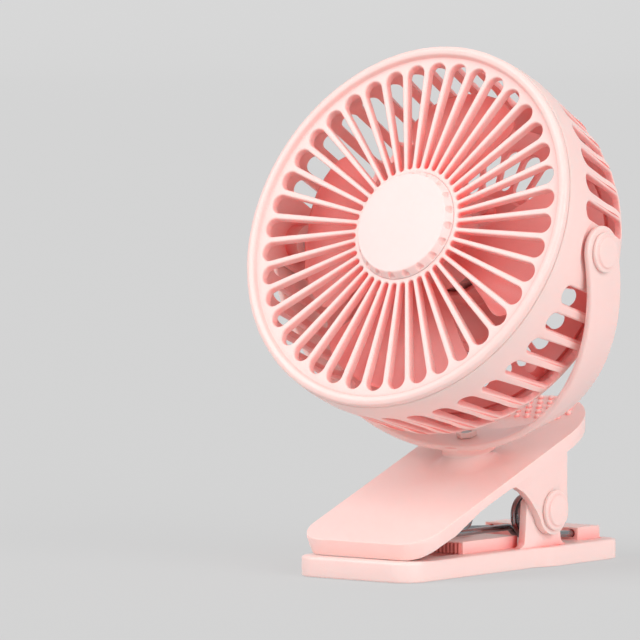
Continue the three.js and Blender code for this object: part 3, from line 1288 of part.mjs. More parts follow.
/** Screws of one kind, each turned about the head's axis to its place. */
function addScrews(name, angles, circle, headZ, length) {
  angles.forEach((angle, i) => {
    const piece = screw(length).translate(0, circle, headZ).rotateZ(radians(angle));
    addPiece(head, `${name}_${i + 1}`, piece, steel);
  });
}
addScrews('housing_screw', evenly(HOUSING_SCREWS, 45), screwCircle, -HEAD_DEPTH, HOUSING_SCREW_LENGTH);
addScrews('pod_screw', POD_SCREW_ANGLES, POD_SCREW_CIRCLE, podRear + POD_SCREW_SINK, POD_SCREW_LENGTH);
const motorScrewEnd = MOTOR_FLOOR + MOTOR_SCREW_LENGTH - 0.5;
addScrews('motor_screw', MOTOR_SCREW_ANGLES, MOTOR_SCREW_ASIDE, backPlateRear, motorScrewEnd);
fan.add(head);

export default fan;
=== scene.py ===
"""Clip fan: the dressed model of a round fan head in a U yoke on a sprung clip.

Shapes are worked in millimetres in the frame of their own sub-assembly and are
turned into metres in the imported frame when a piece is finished.
"""

import logging
import math
from dataclasses import dataclass
from enum import Enum
from typing import Callable, Iterable, Sequence

import bmesh
import bpy
from mathutils import Matrix, Vector


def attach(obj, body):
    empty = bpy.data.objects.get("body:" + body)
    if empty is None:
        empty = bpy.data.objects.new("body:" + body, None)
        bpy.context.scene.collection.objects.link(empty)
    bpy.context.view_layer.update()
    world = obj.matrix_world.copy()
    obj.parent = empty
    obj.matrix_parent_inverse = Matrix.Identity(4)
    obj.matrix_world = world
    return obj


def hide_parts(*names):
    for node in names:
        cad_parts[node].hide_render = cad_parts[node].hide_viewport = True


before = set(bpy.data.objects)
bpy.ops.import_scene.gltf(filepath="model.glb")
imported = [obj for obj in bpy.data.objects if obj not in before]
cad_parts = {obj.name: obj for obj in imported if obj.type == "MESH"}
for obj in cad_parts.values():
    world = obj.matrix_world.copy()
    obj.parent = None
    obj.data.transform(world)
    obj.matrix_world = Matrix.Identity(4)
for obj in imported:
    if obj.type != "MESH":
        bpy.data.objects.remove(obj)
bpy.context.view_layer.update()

LOG = logging.getLogger("clip_fan")

Point = tuple[float, float]
Shape = bmesh.types.BMesh

METRES = Matrix.Diagonal((0.001, 0.001, 0.001, 1.0))
SEAT_GAP = 0.3
# Circles and angles of the screws behind the head, shared by the shell, grille and pod.
HOUSING_SCREW_CIRCLE = 55.25
HOUSING_SCREW_PHASE = 45.0
POD_SCREW_CIRCLE = 23.9
POD_SCREW_ANGLES = (0.0, 112.0, 248.0)


def shift(x: float = 0.0, y: float = 0.0, z: float = 0.0) -> Matrix:
    """A move along the three axes."""
    return Matrix.Translation((x, y, z))


def turn(angle: float, axis: str) -> Matrix:
    """A turn about an axis, in degrees."""
    return Matrix.Rotation(math.radians(angle), 4, axis)


HEAD_FRAME = shift(0.0, -32.995, 132.228) @ turn(68.0, "X")
YOKE_FRAME = shift(0.0, -10.65, 123.2) @ turn(13.5, "X")
CLIP_FRAME = Matrix.Identity(4)


class Side(Enum):
    """The two sides of the fan, as seen from behind it."""

    RIGHT = 1
    LEFT = -1

    @property
    def word(self) -> str:
        """The side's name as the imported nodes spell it."""
        return self.name.lower()


class Carve(Enum):
    """How two solid shapes are put together."""

    CUT = "DIFFERENCE"
    JOIN = "UNION"
    KEEP = "INTERSECT"


# ---------------------------------------------------------------- finishes


def srgb(code: str) -> tuple[float, float, float, float]:
    """Turns an sRGB hex colour to the linear colour that a shader reads.

    Args:
        code: Six hex digits.

    Returns:
        Linear red, green, blue and a full alpha.
    """
    parts = [int(code[i : i + 2], 16) / 255 for i in (0, 2, 4)]
    red, green, blue = (
        part / 12.92 if part <= 0.04045 else ((part + 0.055) / 1.055) ** 2.4
        for part in parts
    )
    return red, green, blue, 1.0


def add_node(
    tree: bpy.types.NodeTree,
    kind: str,
    settings: dict[str, object] | None = None,
    links: dict[str, bpy.types.NodeSocket] | None = None,
) -> bpy.types.Node:
    """Adds one node with its settings and what is linked into it.

    Args:
        tree: The node tree that takes the node.
        kind: The node's type, without its ShaderNode prefix.
        settings: Values by name: of an input socket, or else of the node.
        links: The output socket that feeds each named input.

    Returns:
        The new node.
    """
    node = tree.nodes.new("ShaderNode" + kind)
    for name, value in (settings or {}).items():
        if name in node.inputs:
            node.inputs[name].default_value = value
        else:
            setattr(node, name, value)
    for name, source in (links or {}).items():
        tree.links.new(source, node.inputs[name])
    return node


RANGE = ("From Min", "From Max", "To Min", "To Max")


@dataclass(frozen=True)
class Finish:
    """What every finish holds: the real material's name, its numbers and its slot."""

    name: str
    colour: str
    roughness: float
    slot: str = ""

    def start(self) -> tuple[bpy.types.Material, bpy.types.NodeTree, bpy.types.NodeSocket]:
        """Makes an empty material.

        Returns:
            The material, its tree and the object coordinates, in metres.
        """
        made = bpy.data.materials.new(self.name)
        made.use_nodes = True
        made.node_tree.nodes.clear()
        made.diffuse_color = srgb(self.colour)
        place = add_node(made.node_tree, "TexCoord").outputs["Object"]
        return made, made.node_tree, place

    def relief(
        self, tree: bpy.types.NodeTree, place: bpy.types.NodeSocket, noise: dict[str, float],
        strength: float, height_mm: float,
    ) -> tuple[bpy.types.NodeSocket, bpy.types.NodeSocket]:
        """Adds a fine noise and the bumps that it raises.

        Args:
            tree: The material's tree.
            place: Where on the object a point lies.
            noise: The noise's numbers.
            strength: How strongly the bumps show.
            height_mm: How high they are.

        Returns:
            The noise's value and the bumps' normal.
        """
        grain = add_node(tree, "TexNoise", noise, {"Vector": place}).outputs["Fac"]
        size = {"Strength": strength, "Distance": height_mm / 1000}
        return grain, add_node(tree, "Bump", size, {"Height": grain}).outputs["Normal"]

    def shades(
        self, tree: bpy.types.NodeTree, source: bpy.types.NodeSocket, shares: tuple[float, float],
    ) -> bpy.types.NodeSocket:
        """Adds a ramp between two shades of the finish's own colour.

        Args:
            tree: The material's tree.
            source: The value that picks the shade.
            shares: How much of the colour's light each end has.

        Returns:
            The ramp's colour.
        """
        ramp = add_node(tree, "ValToRGB", None, {"Fac": source})
        for element, share in zip(ramp.color_ramp.elements, shares):
            element.color = [share * part for part in srgb(self.colour)[:3]] + [1.0]
        return ramp.outputs["Color"]

    def close(
        self, tree: bpy.types.NodeTree, settings: dict[str, object],
        links: dict[str, bpy.types.NodeSocket],
    ) -> None:
        """Adds the surface shader and the output.

        Args:
            tree: The material's tree.
            settings: Numbers set on the shader's own sockets.
            links: What feeds the shader's sockets.
        """
        shader = add_node(tree, "BsdfPrincipled", settings, links)
        add_node(tree, "OutputMaterial", None, {"Surface": shader.outputs["BSDF"]})


@dataclass(frozen=True)
class MouldedPlastic(Finish):
    """Injection moulded ABS: a satin skin with a fine spark-eroded grain.

    Painted shade deepens the pink in corners and slots, so the colour there is
    richer than on open faces; it stands in for light that bounces between the walls.
    """

    # The deeper colour is painted shade: it is mixed in where occlusion finds corners, slots and
    # hollows within the given reach.
    painted_shade_colour: str = "d98a82"
    painted_shade_reach_mm: float = 9.0
    painted_shade_share: float = 0.75
    painted_shade_self_only: bool = True
    grain_mm: float = 0.55
    grain_height_mm: float = 0.012
    glow: float = 0.5
    gloss: float = 0.5

    def build(self) -> bpy.types.Material:
        """Makes the material.

        Returns:
            The material.
        """
        made, tree, place = self.start()
        noise = {"Scale": 1000 / self.grain_mm, "Detail": 3.0, "Roughness": 0.6}
        grain, normal = self.relief(tree, place, noise, 0.35, self.grain_height_mm)
        flow = add_node(tree, "TexNoise", {"Scale": 42.0, "Detail": 2.0}, {"Vector": place})
        # Painted shade: ambient occlusion picks out corners and hollows, and the mix below paints
        # the deeper colour into them.
        reach = {
            "samples": 6, "only_local": self.painted_shade_self_only, "Distance": self.painted_shade_reach_mm / 1000,
        }
        painted_shade_occlusion = add_node(tree, "AmbientOcclusion", reach)
        ends = (0.95, 0.25, 0.0, self.painted_shade_share)
        hollow = add_node(
            tree, "MapRange", dict(zip(RANGE, ends)), {"Value": painted_shade_occlusion.outputs["AO"]},
        )
        # skin is the plastic's colour with its painted shade mixed in where hollow says.
        skin = add_node(tree, "Mix", {"data_type": "RGBA"})
        skin.inputs[6].default_value = srgb(self.colour)
        skin.inputs[7].default_value = srgb(self.painted_shade_colour)
        tree.links.new(hollow.outputs["Result"], skin.inputs[0])
        ends = (0.3, 0.7, 0.985, 1.01)
        tint = add_node(tree, "MapRange", dict(zip(RANGE, ends)), {"Value": flow.outputs["Fac"]})
        feeds = {"Color": skin.outputs[2], "Value": tint.outputs["Result"]}
        shade = add_node(tree, "HueSaturation", None, feeds)
        ends = (0.25, 0.75, self.roughness - 0.04, self.roughness + 0.05)
        rough = add_node(tree, "MapRange", dict(zip(RANGE, ends)), {"Value": grain})
        self.close(
            tree,
            {
                "subsurface_method": "BURLEY", "IOR": 1.46, "Specular IOR Level": self.gloss,
                "Subsurface Weight": self.glow, "Subsurface Radius": (1.0, 0.16, 0.12),
                "Subsurface Scale": 0.006,
            },
            {
                "Base Color": shade.outputs["Color"], "Roughness": rough.outputs["Result"],
                "Normal": normal,
            },
        )
        return made


@dataclass(frozen=True)
class DrawnMetal(Finish):
    """Drawn or turned metal: fine lines run across it and break up its gloss."""

    line_mm: float = 0.3
    line_height_mm: float = 0.004

    def build(self) -> bpy.types.Material:
        """Makes the material.

        Returns:
            The material.
        """
        made, tree, place = self.start()
        stretch = add_node(tree, "Mapping", {"Scale": (1.0, 0.08, 1.0)}, {"Vector": place})
        noise = {"Scale": 1000 / self.line_mm, "Detail": 2.0}
        lines, normal = self.relief(
            tree, stretch.outputs["Vector"], noise, 0.3, self.line_height_mm,
        )
        ends = (0.3, 0.7, max(0.03, self.roughness - 0.06), self.roughness + 0.08)
        rough = add_node(tree, "MapRange", dict(zip(RANGE, ends)), {"Value": lines})
        stain = add_node(tree, "TexNoise", {"Scale": 120.0, "Detail": 3.0}, {"Vector": place})
        tone = self.shades(tree, stain.outputs["Fac"], (0.82, 1.0))
        links = {"Base Color": tone, "Roughness": rough.outputs["Result"], "Normal": normal}
        self.close(tree, {"Metallic": 1.0}, links)
        return made


@dataclass(frozen=True)
class SoftRubber(Finish):
    """Moulded silicone rubber: matt, with a dusty speckle."""

    speckle_mm: float = 0.6

    def build(self) -> bpy.types.Material:
        """Makes the material.

        Returns:
            The material.
        """
        made, tree, place = self.start()
        noise = {"Scale": 1000 / self.speckle_mm, "Detail": 4.0}
        speckle, normal = self.relief(tree, place, noise, 0.4, 0.03)
        settings = {"Roughness": self.roughness, "IOR": 1.43, "Specular IOR Level": 0.3}
        tone = self.shades(tree, speckle, (0.88, 1.0))
        self.close(tree, settings, {"Base Color": tone, "Normal": normal})
        return made


@dataclass(frozen=True)
class MattPaper(Finish):
    """The studio's paper: matt, with an even glow that keeps its far end as pale."""

    glow: float = 0.76

    def build(self) -> bpy.types.Material:
        """Makes the material.

        Returns:
            The material.
        """
        made, tree, place = self.start()
        noise = add_node(tree, "TexNoise", {"Scale": 6.0, "Detail": 4.0}, {"Vector": place})
        tone = self.shades(tree, noise.outputs["Fac"], (0.247, 0.25))
        settings = {
            "Roughness": self.roughness, "Specular IOR Level": 0.0,
            "Emission Color": srgb(self.colour), "Emission Strength": self.glow,
        }
        self.close(tree, settings, {"Base Color": tone})
        return made


# ABS, moulded pale pink: satin, so broad soft highlights; its rosy corners are painted shade.
SHELL_PINK = MouldedPlastic(
    "moulded_abs_pale_pink", "fcdad4", 0.32, "shell_pink", painted_shade_colour="f0716d",
    painted_shade_reach_mm=10.0, painted_shade_share=0.95,
)
# The barrel is the same ABS; painted shade with a long reach darkens its inside from wall to
# wall.
BARREL_PINK = MouldedPlastic(
    "moulded_abs_barrel", "fcdad4", 0.32, "shell_pink", painted_shade_colour="ee6562", painted_shade_reach_mm=90.0,
    painted_shade_share=1.0,
)
# The disc is the same ABS with a finer, matter face, and a little painted shade in its small
# hollows.
DISC_PINK = MouldedPlastic(
    "moulded_abs_disc", "fde0dc", 0.42, "disc_pink", painted_shade_colour="f4aaa4", painted_shade_reach_mm=4.0,
)
# Blades are moulded in thin tinted ABS; painted shade, counted also from the shell round them,
# deepens them inside the shell.
BLADE_PINK = MouldedPlastic(
    "moulded_abs_blade", "f6a7a2", 0.3, "blade_pink", painted_shade_colour="e9635f", painted_shade_reach_mm=22.0,
    painted_shade_self_only=False,
)
# Silicone of the ribbed pads in the clip's mouth.
GRIP_PINK = SoftRubber("moulded_silicone_grip", "dd8079", 0.75, "grip_pink")
# Grey rubber of the sole and the small washers.
FOOT_RUBBER = SoftRubber("moulded_rubber_foot", "6b6461", 0.9, "rubber_grey")
# Spring wire, drawn and oiled black: dark, with one hard highlight.
SPRING_WIRE = DrawnMetal("oiled_spring_steel", "a9aaad", 0.16, "spring_black")
# Screws, pins, the motor's can and the charge socket.
STEEL = DrawnMetal("turned_steel", "c8c4c2", 0.4)
# The pieces inside the pod, seen only with the shell off; their darker colours in corners are
# painted shade.
BOARD = MouldedPlastic("fibreglass_board", "2f6b45", 0.45, painted_shade_colour="1d4a2e")
CELL = MouldedPlastic("shrink_wrapped_cell", "7f93b5", 0.35, painted_shade_colour="4a5f85")
LENS = MouldedPlastic("clear_acrylic_lens", "f4f2ee", 0.12, painted_shade_colour="d8d2cc")
FLOOR_PAPER = MattPaper("matt_paper_floor", "d2d2d2", 1.0)


# ---------------------------------------------------------------- shape helpers


def smooth_outline(corners: Sequence[tuple[float, float, float]], steps: int = 6) -> list[Point]:
    """Rounds the corners of an outline.

    Args:
        corners: x, y and the rounding radius of each corner, in order.
        steps: Straight pieces in each rounded corner.

    Returns:
        The points of the outline.
    """
    points: list[Point] = []
    count = len(corners)
    for i, (x, y, radius) in enumerate(corners):
        here = Vector((x, y))
        back = Vector(corners[i - 1][:2]) - here
        ahead = Vector(corners[(i + 1) % count][:2]) - here
        if radius <= 0 or back.length < 1e-6 or ahead.length < 1e-6:
            points.append((x, y))
            continue
        half = back.angle(ahead) / 2
        if half > math.radians(89) or half < math.radians(1):
            points.append((x, y))
            continue
        reach = min(radius / math.tan(half), back.length * 0.49, ahead.length * 0.49)
        start = here + back.normalized() * reach
        end = here + ahead.normalized() * reach
        real = reach * math.tan(half)
        middle = here + (
            back.normalized() + ahead.normalized()
        ).normalized() * (real / math.sin(half))
        first, last = start - middle, end - middle
        sweep = first.angle_signed(last)
        for k in range(steps + 1):
            arm = first.copy()
            arm.rotate(Matrix.Rotation(-sweep * k / steps, 2))
            points.append(tuple(middle + arm))
    return points


def arc(x: float, y: float, radius: float, start: float, end: float, steps: int) -> list[Point]:
    """Points of an arc, its ends included, with its angles in degrees."""
    angles = (math.radians(start + (end - start) * i / steps) for i in range(steps + 1))
    return [(x + radius * math.cos(a), y + radius * math.sin(a)) for a in angles]


def lofted(rings: Sequence[Sequence[Vector]], capped: bool = True, closed: bool = True) -> Shape:
    """Lays a grid over a row of rings.

    Args:
        rings: Rings or rows with the same number of points.
        capped: Whether the two ends are closed.
        closed: Whether each ring runs round to its own start.

    Returns:
        The shape, its faces looking out where it is closed.
    """
    count = len(rings[0])
    across = count if closed else count - 1
    shape = bmesh.new()
    made = bmesh.ops.create_grid(shape, x_segments=across, y_segments=len(rings) - 1, size=1.0)
    places = (ring[i % count] for ring in rings for i in range(across + 1))
    for vert, place in zip(made["verts"], places):
        vert.co = place
    bmesh.ops.remove_doubles(shape, verts=shape.verts[:], dist=1e-5)
    if capped:
        open_edges = [edge for edge in shape.edges if edge.is_boundary]
        bmesh.ops.holes_fill(shape, edges=open_edges, sides=0)
    bmesh.ops.recalc_face_normals(shape, faces=shape.faces[:])
    return shape


def stacked(levels: Iterable[Point], outline: Callable[[float], list[Point]]) -> Shape:
    """Lays a closed wall over outlines at several heights.

    Args:
        levels: How far each outline stands out, and its height.
        outline: Draws an outline by how far it stands out.

    Returns:
        The solid.
    """
    return lofted([[Vector((x, y, z)) for x, y in outline(grow)] for grow, z in levels])


def plate(points: Sequence[Point], low: float, high: float) -> Shape:
    """An outline in X and Y made solid between two heights.

    Args:
        points: The outline, in order.
        low: Height of its foot.
        high: Height of its top.

    Returns:
        The solid.
    """
    shape = bmesh.new()
    base = shape.faces.new([shape.verts.new((x, y, low)) for x, y in points])
    made = bmesh.ops.extrude_face_region(shape, geom=[base])
    raised = [item for item in made["geom"] if isinstance(item, bmesh.types.BMVert)]
    bmesh.ops.translate(shape, verts=raised, vec=(0.0, 0.0, high - low))
    bmesh.ops.recalc_face_normals(shape, faces=shape.faces[:])
    return shape


SIDE_ON = Matrix(((0, 0, 1, 0), (1, 0, 0, 0), (0, 1, 0, 0), (0, 0, 0, 1)))


def side_plate(points: Sequence[Point], low: float, high: float) -> Shape:
    """An outline in Y and Z made solid between two places along X.

    Args:
        points: The outline's Y and Z, in order.
        low: One end along X.
        high: The other end.

    Returns:
        The solid.
    """
    shape = plate(points, min(low, high), max(low, high))
    shape.transform(SIDE_ON)
    return shape


def block(low: Sequence[float], high: Sequence[float]) -> Shape:
    """A box between two corners."""
    outline = [(low[0], low[1]), (high[0], low[1]), (high[0], high[1]), (low[0], high[1])]
    return plate(outline, low[2], high[2])


def spun(profile: Sequence[Point], steps: int) -> Shape:
    """Turns a profile of radius and height about Z.

    Args:
        profile: Points that close on themselves or start and end on the axis.
        steps: Facets round the full circle.

    Returns:
        The turned shape, its faces looking out.
    """
    shape = bmesh.new()
    verts = [shape.verts.new((radius, 0.0, height)) for radius, height in profile]
    edges = [
        shape.edges.new(pair)
        for pair in zip(verts, [*verts[1:], verts[0]])
        if not (pair[0].co.x < 1e-6 and pair[1].co.x < 1e-6)
    ]
    bmesh.ops.spin(
        shape, geom=verts + edges, cent=(0.0, 0.0, 0.0), axis=(0.0, 0.0, 1.0), angle=2 * math.pi,
        steps=steps, use_merge=True,
    )
    bmesh.ops.remove_doubles(shape, verts=shape.verts[:], dist=1e-4)
    bmesh.ops.recalc_face_normals(shape, faces=shape.faces[:])
    return shape


def turned(corners: Sequence[tuple[float, float, float]], steps: int, facets: int) -> Shape:
    """Turns an outline with rounded corners about Z.

    Args:
        corners: Radius, height and rounding radius of each corner, in order.
        steps: Straight pieces in each rounded corner.
        facets: Facets round the full circle.

    Returns:
        The turned shape.
    """
    return spun(smooth_outline(corners, steps), facets)


def rod(radius: float, low: float, high: float, steps: int = 32) -> Shape:
    """A round bar along Z.

    Args:
        radius: The bar's radius.
        low: Height of its foot.
        high: Height of its top.
        steps: Facets round it.

    Returns:
        The solid.
    """
    shape = bmesh.new()
    bmesh.ops.create_cone(
        shape, cap_ends=True, segments=steps, radius1=radius, radius2=radius, depth=high - low,
    )
    bmesh.ops.translate(shape, verts=shape.verts[:], vec=(0.0, 0.0, (low + high) / 2))
    return shape


def moved(shape: Shape, *turns: Matrix) -> Shape:
    """Puts a shape through matrices, the last one first, and returns it.

    Args:
        shape: The shape, which is changed.
        turns: The matrices.

    Returns:
        The same shape.
    """
    for turn in reversed(turns):
        shape.transform(turn)
    return shape


def cross_rod(
    radius: float, low: float, high: float, y: float, z: float, steps: int = 32,
) -> Shape:
    """A round bar along X."""
    bar = rod(radius, min(low, high), max(low, high), steps)
    return moved(bar, shift(0.0, y, z), turn(90, "Y"))


def gathered(shapes: Iterable[Shape]) -> Shape:
    """Puts shapes in one, without joining their walls, and frees them.

    Args:
        shapes: The shapes, which are used up.

    Returns:
        One shape that holds them all.
    """
    whole = bmesh.new()
    for shape in shapes:
        part = bpy.data.meshes.new("part")
        shape.to_mesh(part)
        shape.free()
        whole.from_mesh(part)
        bpy.data.meshes.remove(part)
    return whole


def around(shape: Shape, angles: Iterable[float]) -> Shape:
    """Copies of a shape turned about Z to the given angles in degrees.

    Args:
        shape: The shape, which is used up.
        angles: Where the copies go, in degrees.

    Returns:
        One shape that holds the copies.
    """
    copies = [moved(shape.copy(), turn(angle, "Z")) for angle in angles]
    shape.free()
    return gathered(copies)


def evenly(count: int, phase: float = 0.0) -> list[float]:
    """Evenly spaced angles in degrees."""
    return [phase + 360.0 * i / count for i in range(count)]


def carved(body: Shape, tool: Shape, how: Carve = Carve.CUT, exact: bool = False) -> Shape:
    """Cuts, joins or crosses two solids and frees them.

    Args:
        body: The shape that is worked on.
        tool: The shape that works on it.
        how: The way that they are put together.
        exact: Whether the slower solver is used, which keeps large faces whole.

    Returns:
        The new shape.
    """
    objects = []
    for shape in (body, tool):
        mesh = bpy.data.meshes.new("bench")
        shape.to_mesh(mesh)
        shape.free()
        thing = bpy.data.objects.new("bench", mesh)
        bpy.context.scene.collection.objects.link(thing)
        objects.append(thing)
    step = objects[0].modifiers.new("carve", "BOOLEAN")
    step.operation = how.value
    step.object = objects[1]
    step.solver = "EXACT" if exact else "MANIFOLD"
    bpy.context.view_layer.update()
    result = bmesh.new()
    result.from_object(objects[0], bpy.context.evaluated_depsgraph_get())
    for thing in objects:
        mesh = thing.data
        bpy.data.objects.remove(thing)
        bpy.data.meshes.remove(mesh)
    return result


def softened(
    shape: Shape,
    width: float,
    segments: int = 2,
    angle: float = 40.0,
    where: Callable[[bmesh.types.BMEdge], bool] | None = None,
) -> Shape:
    """Rounds the sharp edges of a shape.

    Args:
        shape: The shape, which is changed.
        width: Width of the rounding.
        segments: Faces across the rounding.
        angle: Edges that turn by less than this many degrees stay.
        where: Picks the edges, or every sharp one.

    Returns:
        The same shape.
    """
    least = math.radians(angle)
    edges = [
        edge
        for edge in shape.edges
        if len(edge.link_faces) == 2 and edge.calc_face_angle(0.0) > least and (
            where is None or where(edge)
        )
    ]
    bmesh.ops.bevel(
        shape, geom=edges, offset=width, offset_type="OFFSET", segments=segments, profile=0.5,
        affect="EDGES", material=-1, clamp_overlap=True,
    )
    return shape


def tidied(shape: Shape, limit: float = 0.5) -> Shape:
    """Melts the flat seams that carving leaves, and returns the shape.

    Args:
        shape: The shape, which is changed.
        limit: Edges that turn by less than this many degrees go.

    Returns:
        The same shape.
    """
    bmesh.ops.remove_doubles(shape, verts=shape.verts[:], dist=1e-3)
    bmesh.ops.dissolve_limit(
        shape, angle_limit=math.radians(limit), use_dissolve_boundaries=False,
        verts=shape.verts[:], edges=shape.edges[:],
    )
    return shape


@dataclass
class Assembly:
    """A sub-assembly: its frame and the body that it rides on."""

    place: Matrix
    body: str

    def piece(
        self, name: str, shape: Shape, finish: Finish, node: str, crease: float = 32.0,
    ) -> None:
        """Turns a shape into a finished piece.

        Args:
            name: The piece's name.
            shape: Its shape in millimetres, in the sub-assembly's frame.
            finish: What it is made of.
            node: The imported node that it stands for.
            crease: Edges that turn by more than this many degrees stay sharp.
        """
        bmesh.ops.remove_doubles(shape, verts=shape.verts[:], dist=1e-4)
        shape.transform(METRES @ self.place)
        mesh = bpy.data.meshes.new(name)
        shape.to_mesh(mesh)
        shape.free()
        mesh.materials.append(material(finish))
        mesh.shade_smooth()
        mesh.set_sharp_from_angle(angle=math.radians(crease))
        thing = bpy.data.objects.new(name, mesh)
        bpy.context.scene.collection.objects.link(thing)
        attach(thing, self.body)
        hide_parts(node)
        LOG.info("%s: %d faces", name, len(mesh.polygons))

    def caps(
        self, name: str, node: str, seats: Sequence[float], size: tuple[float, float],
    ) -> None:
        """Makes the round caps on both ends of a pin, each with a softly domed middle.

        Args:
            name: The pieces' name, before the side.
            node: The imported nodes' name, before the side.
            seats: How far out along X the caps sit, and the pin's Y and Z.
            size: The caps' radius and height.
        """
        radius, height = size
        corners = [
            (0.0, 0.0, 0.0), (radius, 0.0, 0.1), (radius, height * 0.55, 0.55),
            (radius * 0.8, height * 0.62, 0.25), (radius * 0.74, height * 0.95, 0.5),
            (radius * 0.4, height, 4.0), (0.0, height, 0.0),
        ]
        for side in Side:
            seat = shift(side.value * seats[0], seats[1], seats[2])
            cap = moved(turned(corners, 5, 96), seat, turn(side.value * 90, "Y"))
            self.piece(f"{name}_{side.word}", cap, SHELL_PINK, f"{node}_{side.word}")


MADE_MATERIALS: dict[str, bpy.types.Material] = {}


def material(finish: Finish) -> bpy.types.Material:
    """The material of a finish, made once.

    Args:
        finish: What the material shows.

    Returns:
        The material.
    """
    if finish.name not in MADE_MATERIALS:
        MADE_MATERIALS[finish.name] = finish.build()
    return MADE_MATERIALS[finish.name]


# ---------------------------------------------------------------- fan head


def grille_slots(
    span: tuple[float, float], ribs: tuple[float, float], count: int, phase: float,
    levels: Iterable[Point],
) -> Shape:
    """The tool for a ring of grille slots: tapers with round ends.

    Args:
        span: Radii where a slot starts and ends.
        ribs: Rib widths left at the start and at the end.
        count: Slots round the circle.
        phase: Angle of the first slot, in degrees.
        levels: How far each level stands outside the slot, and its height.

    Returns:
        The tool.
    """
    half = math.pi / count
    inner_round = (half * span[0] - ribs[0] / 2) / (1 - half)
    outer_round = (half * span[1] - ribs[1] / 2) / (1 + half)

    def slot(grow: float) -> list[Point]:
        """One slot that points up."""
        far = arc(0.0, span[1] - outer_round, outer_round + grow, 0, 180, 14)
        return far + arc(0.0, span[0] + inner_round, inner_round + grow, 180, 360, 8)

    return around(stacked(levels, slot), evenly(count, phase))


def rounding(width: float, steps: int = 3) -> list[Point]:
    """How far a rounded mouth stands out at each height below its face."""
    angles = (math.radians(86.0 * i / steps) for i in range(steps + 1))
    return [(width * (1 - math.cos(a)), -width * (1 - math.sin(a))) for a in angles]


@dataclass
class FrontGuard(Assembly):
    """The front cover: a bright rim round a wheel of spokes, and its disc."""

    radius: float = 72.4
    depth: float = 1.0
    skirt_outer: float = 69.6
    skirt_inner: float = 67.2
    skirt_depth: float = 6.0
    spokes: int = 40
    spoke_depth: float = 3.2
    slot_inner: float = 23.2
    slot_outer: float = 66.0
    spoke_inner: float = 1.7
    spoke_outer: float = 2.4
    phase: float = 6.7
    edge: float = 0.6
    disc_radius: float = 21.6
    disc_face: float = 19.6
    disc_proud: float = 3.4
    disc_seam: float = 0.12
    notches: int = 20
    notch_radius: float = 1.6
    notch_circle: float = 21.4
    notch_floor: float = 0.3
    facets: int = 240

    def cover(self) -> Shape:
        """The rim, the spokes and the plate behind the disc.

        Returns:
            The shape.
        """
        out = self.radius
        body = turned(
            [
                (out, -self.depth, 0.25),
                (out, 1.35, 1.1),
                (out - 1.6, 2.02, 1.6),
                (out - 3.4, 1.75, 1.0),
                (out - 4.2, 0.0, 0.6),
                (self.disc_radius + self.disc_seam, 0.0, 0.1),
                (self.disc_radius + self.disc_seam, -0.6, 0.0),
                (0.0, -0.6, 0.0),
                (0.0, -self.spoke_depth, 0.0),
                (self.skirt_inner, -self.spoke_depth, 0.0),
                (self.skirt_inner, -self.skirt_depth, 0.0),
                (self.skirt_outer, -self.skirt_depth, 0.3),
                (self.skirt_outer, -self.depth, 0.0),
            ],
            5,
            self.facets,
        )
        levels = [(0.0, -self.spoke_depth - 1.0), *rounding(self.edge)]
        levels.append((levels[-1][0], 1.5))
        span = (self.slot_inner, self.slot_outer)
        ribs = (self.spoke_inner, self.spoke_outer)
        return carved(body, grille_slots(span, ribs, self.spokes, -self.phase, levels))

    def disc(self) -> Shape:
        """The plain disc on the middle of the spokes, with a scalloped edge.

        Returns:
            The shape.
        """
        seat, low, face = -0.3, self.notch_floor, self.disc_proud
        body = turned(
            [
                (0.0, seat, 0.0), (self.disc_radius, seat, 0.0), (self.disc_radius, low, 0.2),
                (self.disc_face + 0.15, face - 0.15, 0.9), (0.0, face, 0.0),
            ],
            5,
            self.facets,
        )
        # Each notch has a floor that rounds up into its wall.
        levels = [(-1.0, low), (-0.45, low + 0.1), (-0.12, low + 0.4), (0.0, low + 0.8)]
        levels.append((0.25, face + 1.0))

        def notch(grow: float) -> list[Point]:
            """One notch at the top of the disc."""
            return arc(0.0, self.notch_circle, self.notch_radius + grow, 0, 345, 23)

        return carved(body, around(stacked(levels, notch), evenly(self.notches)))

    def build(self) -> None:
        """Makes the cover and the disc."""
        self.piece("front_guard", self.cover(), SHELL_PINK, "front_cover")
        self.piece("centre_disc", self.disc(), DISC_PINK, "front_disc")


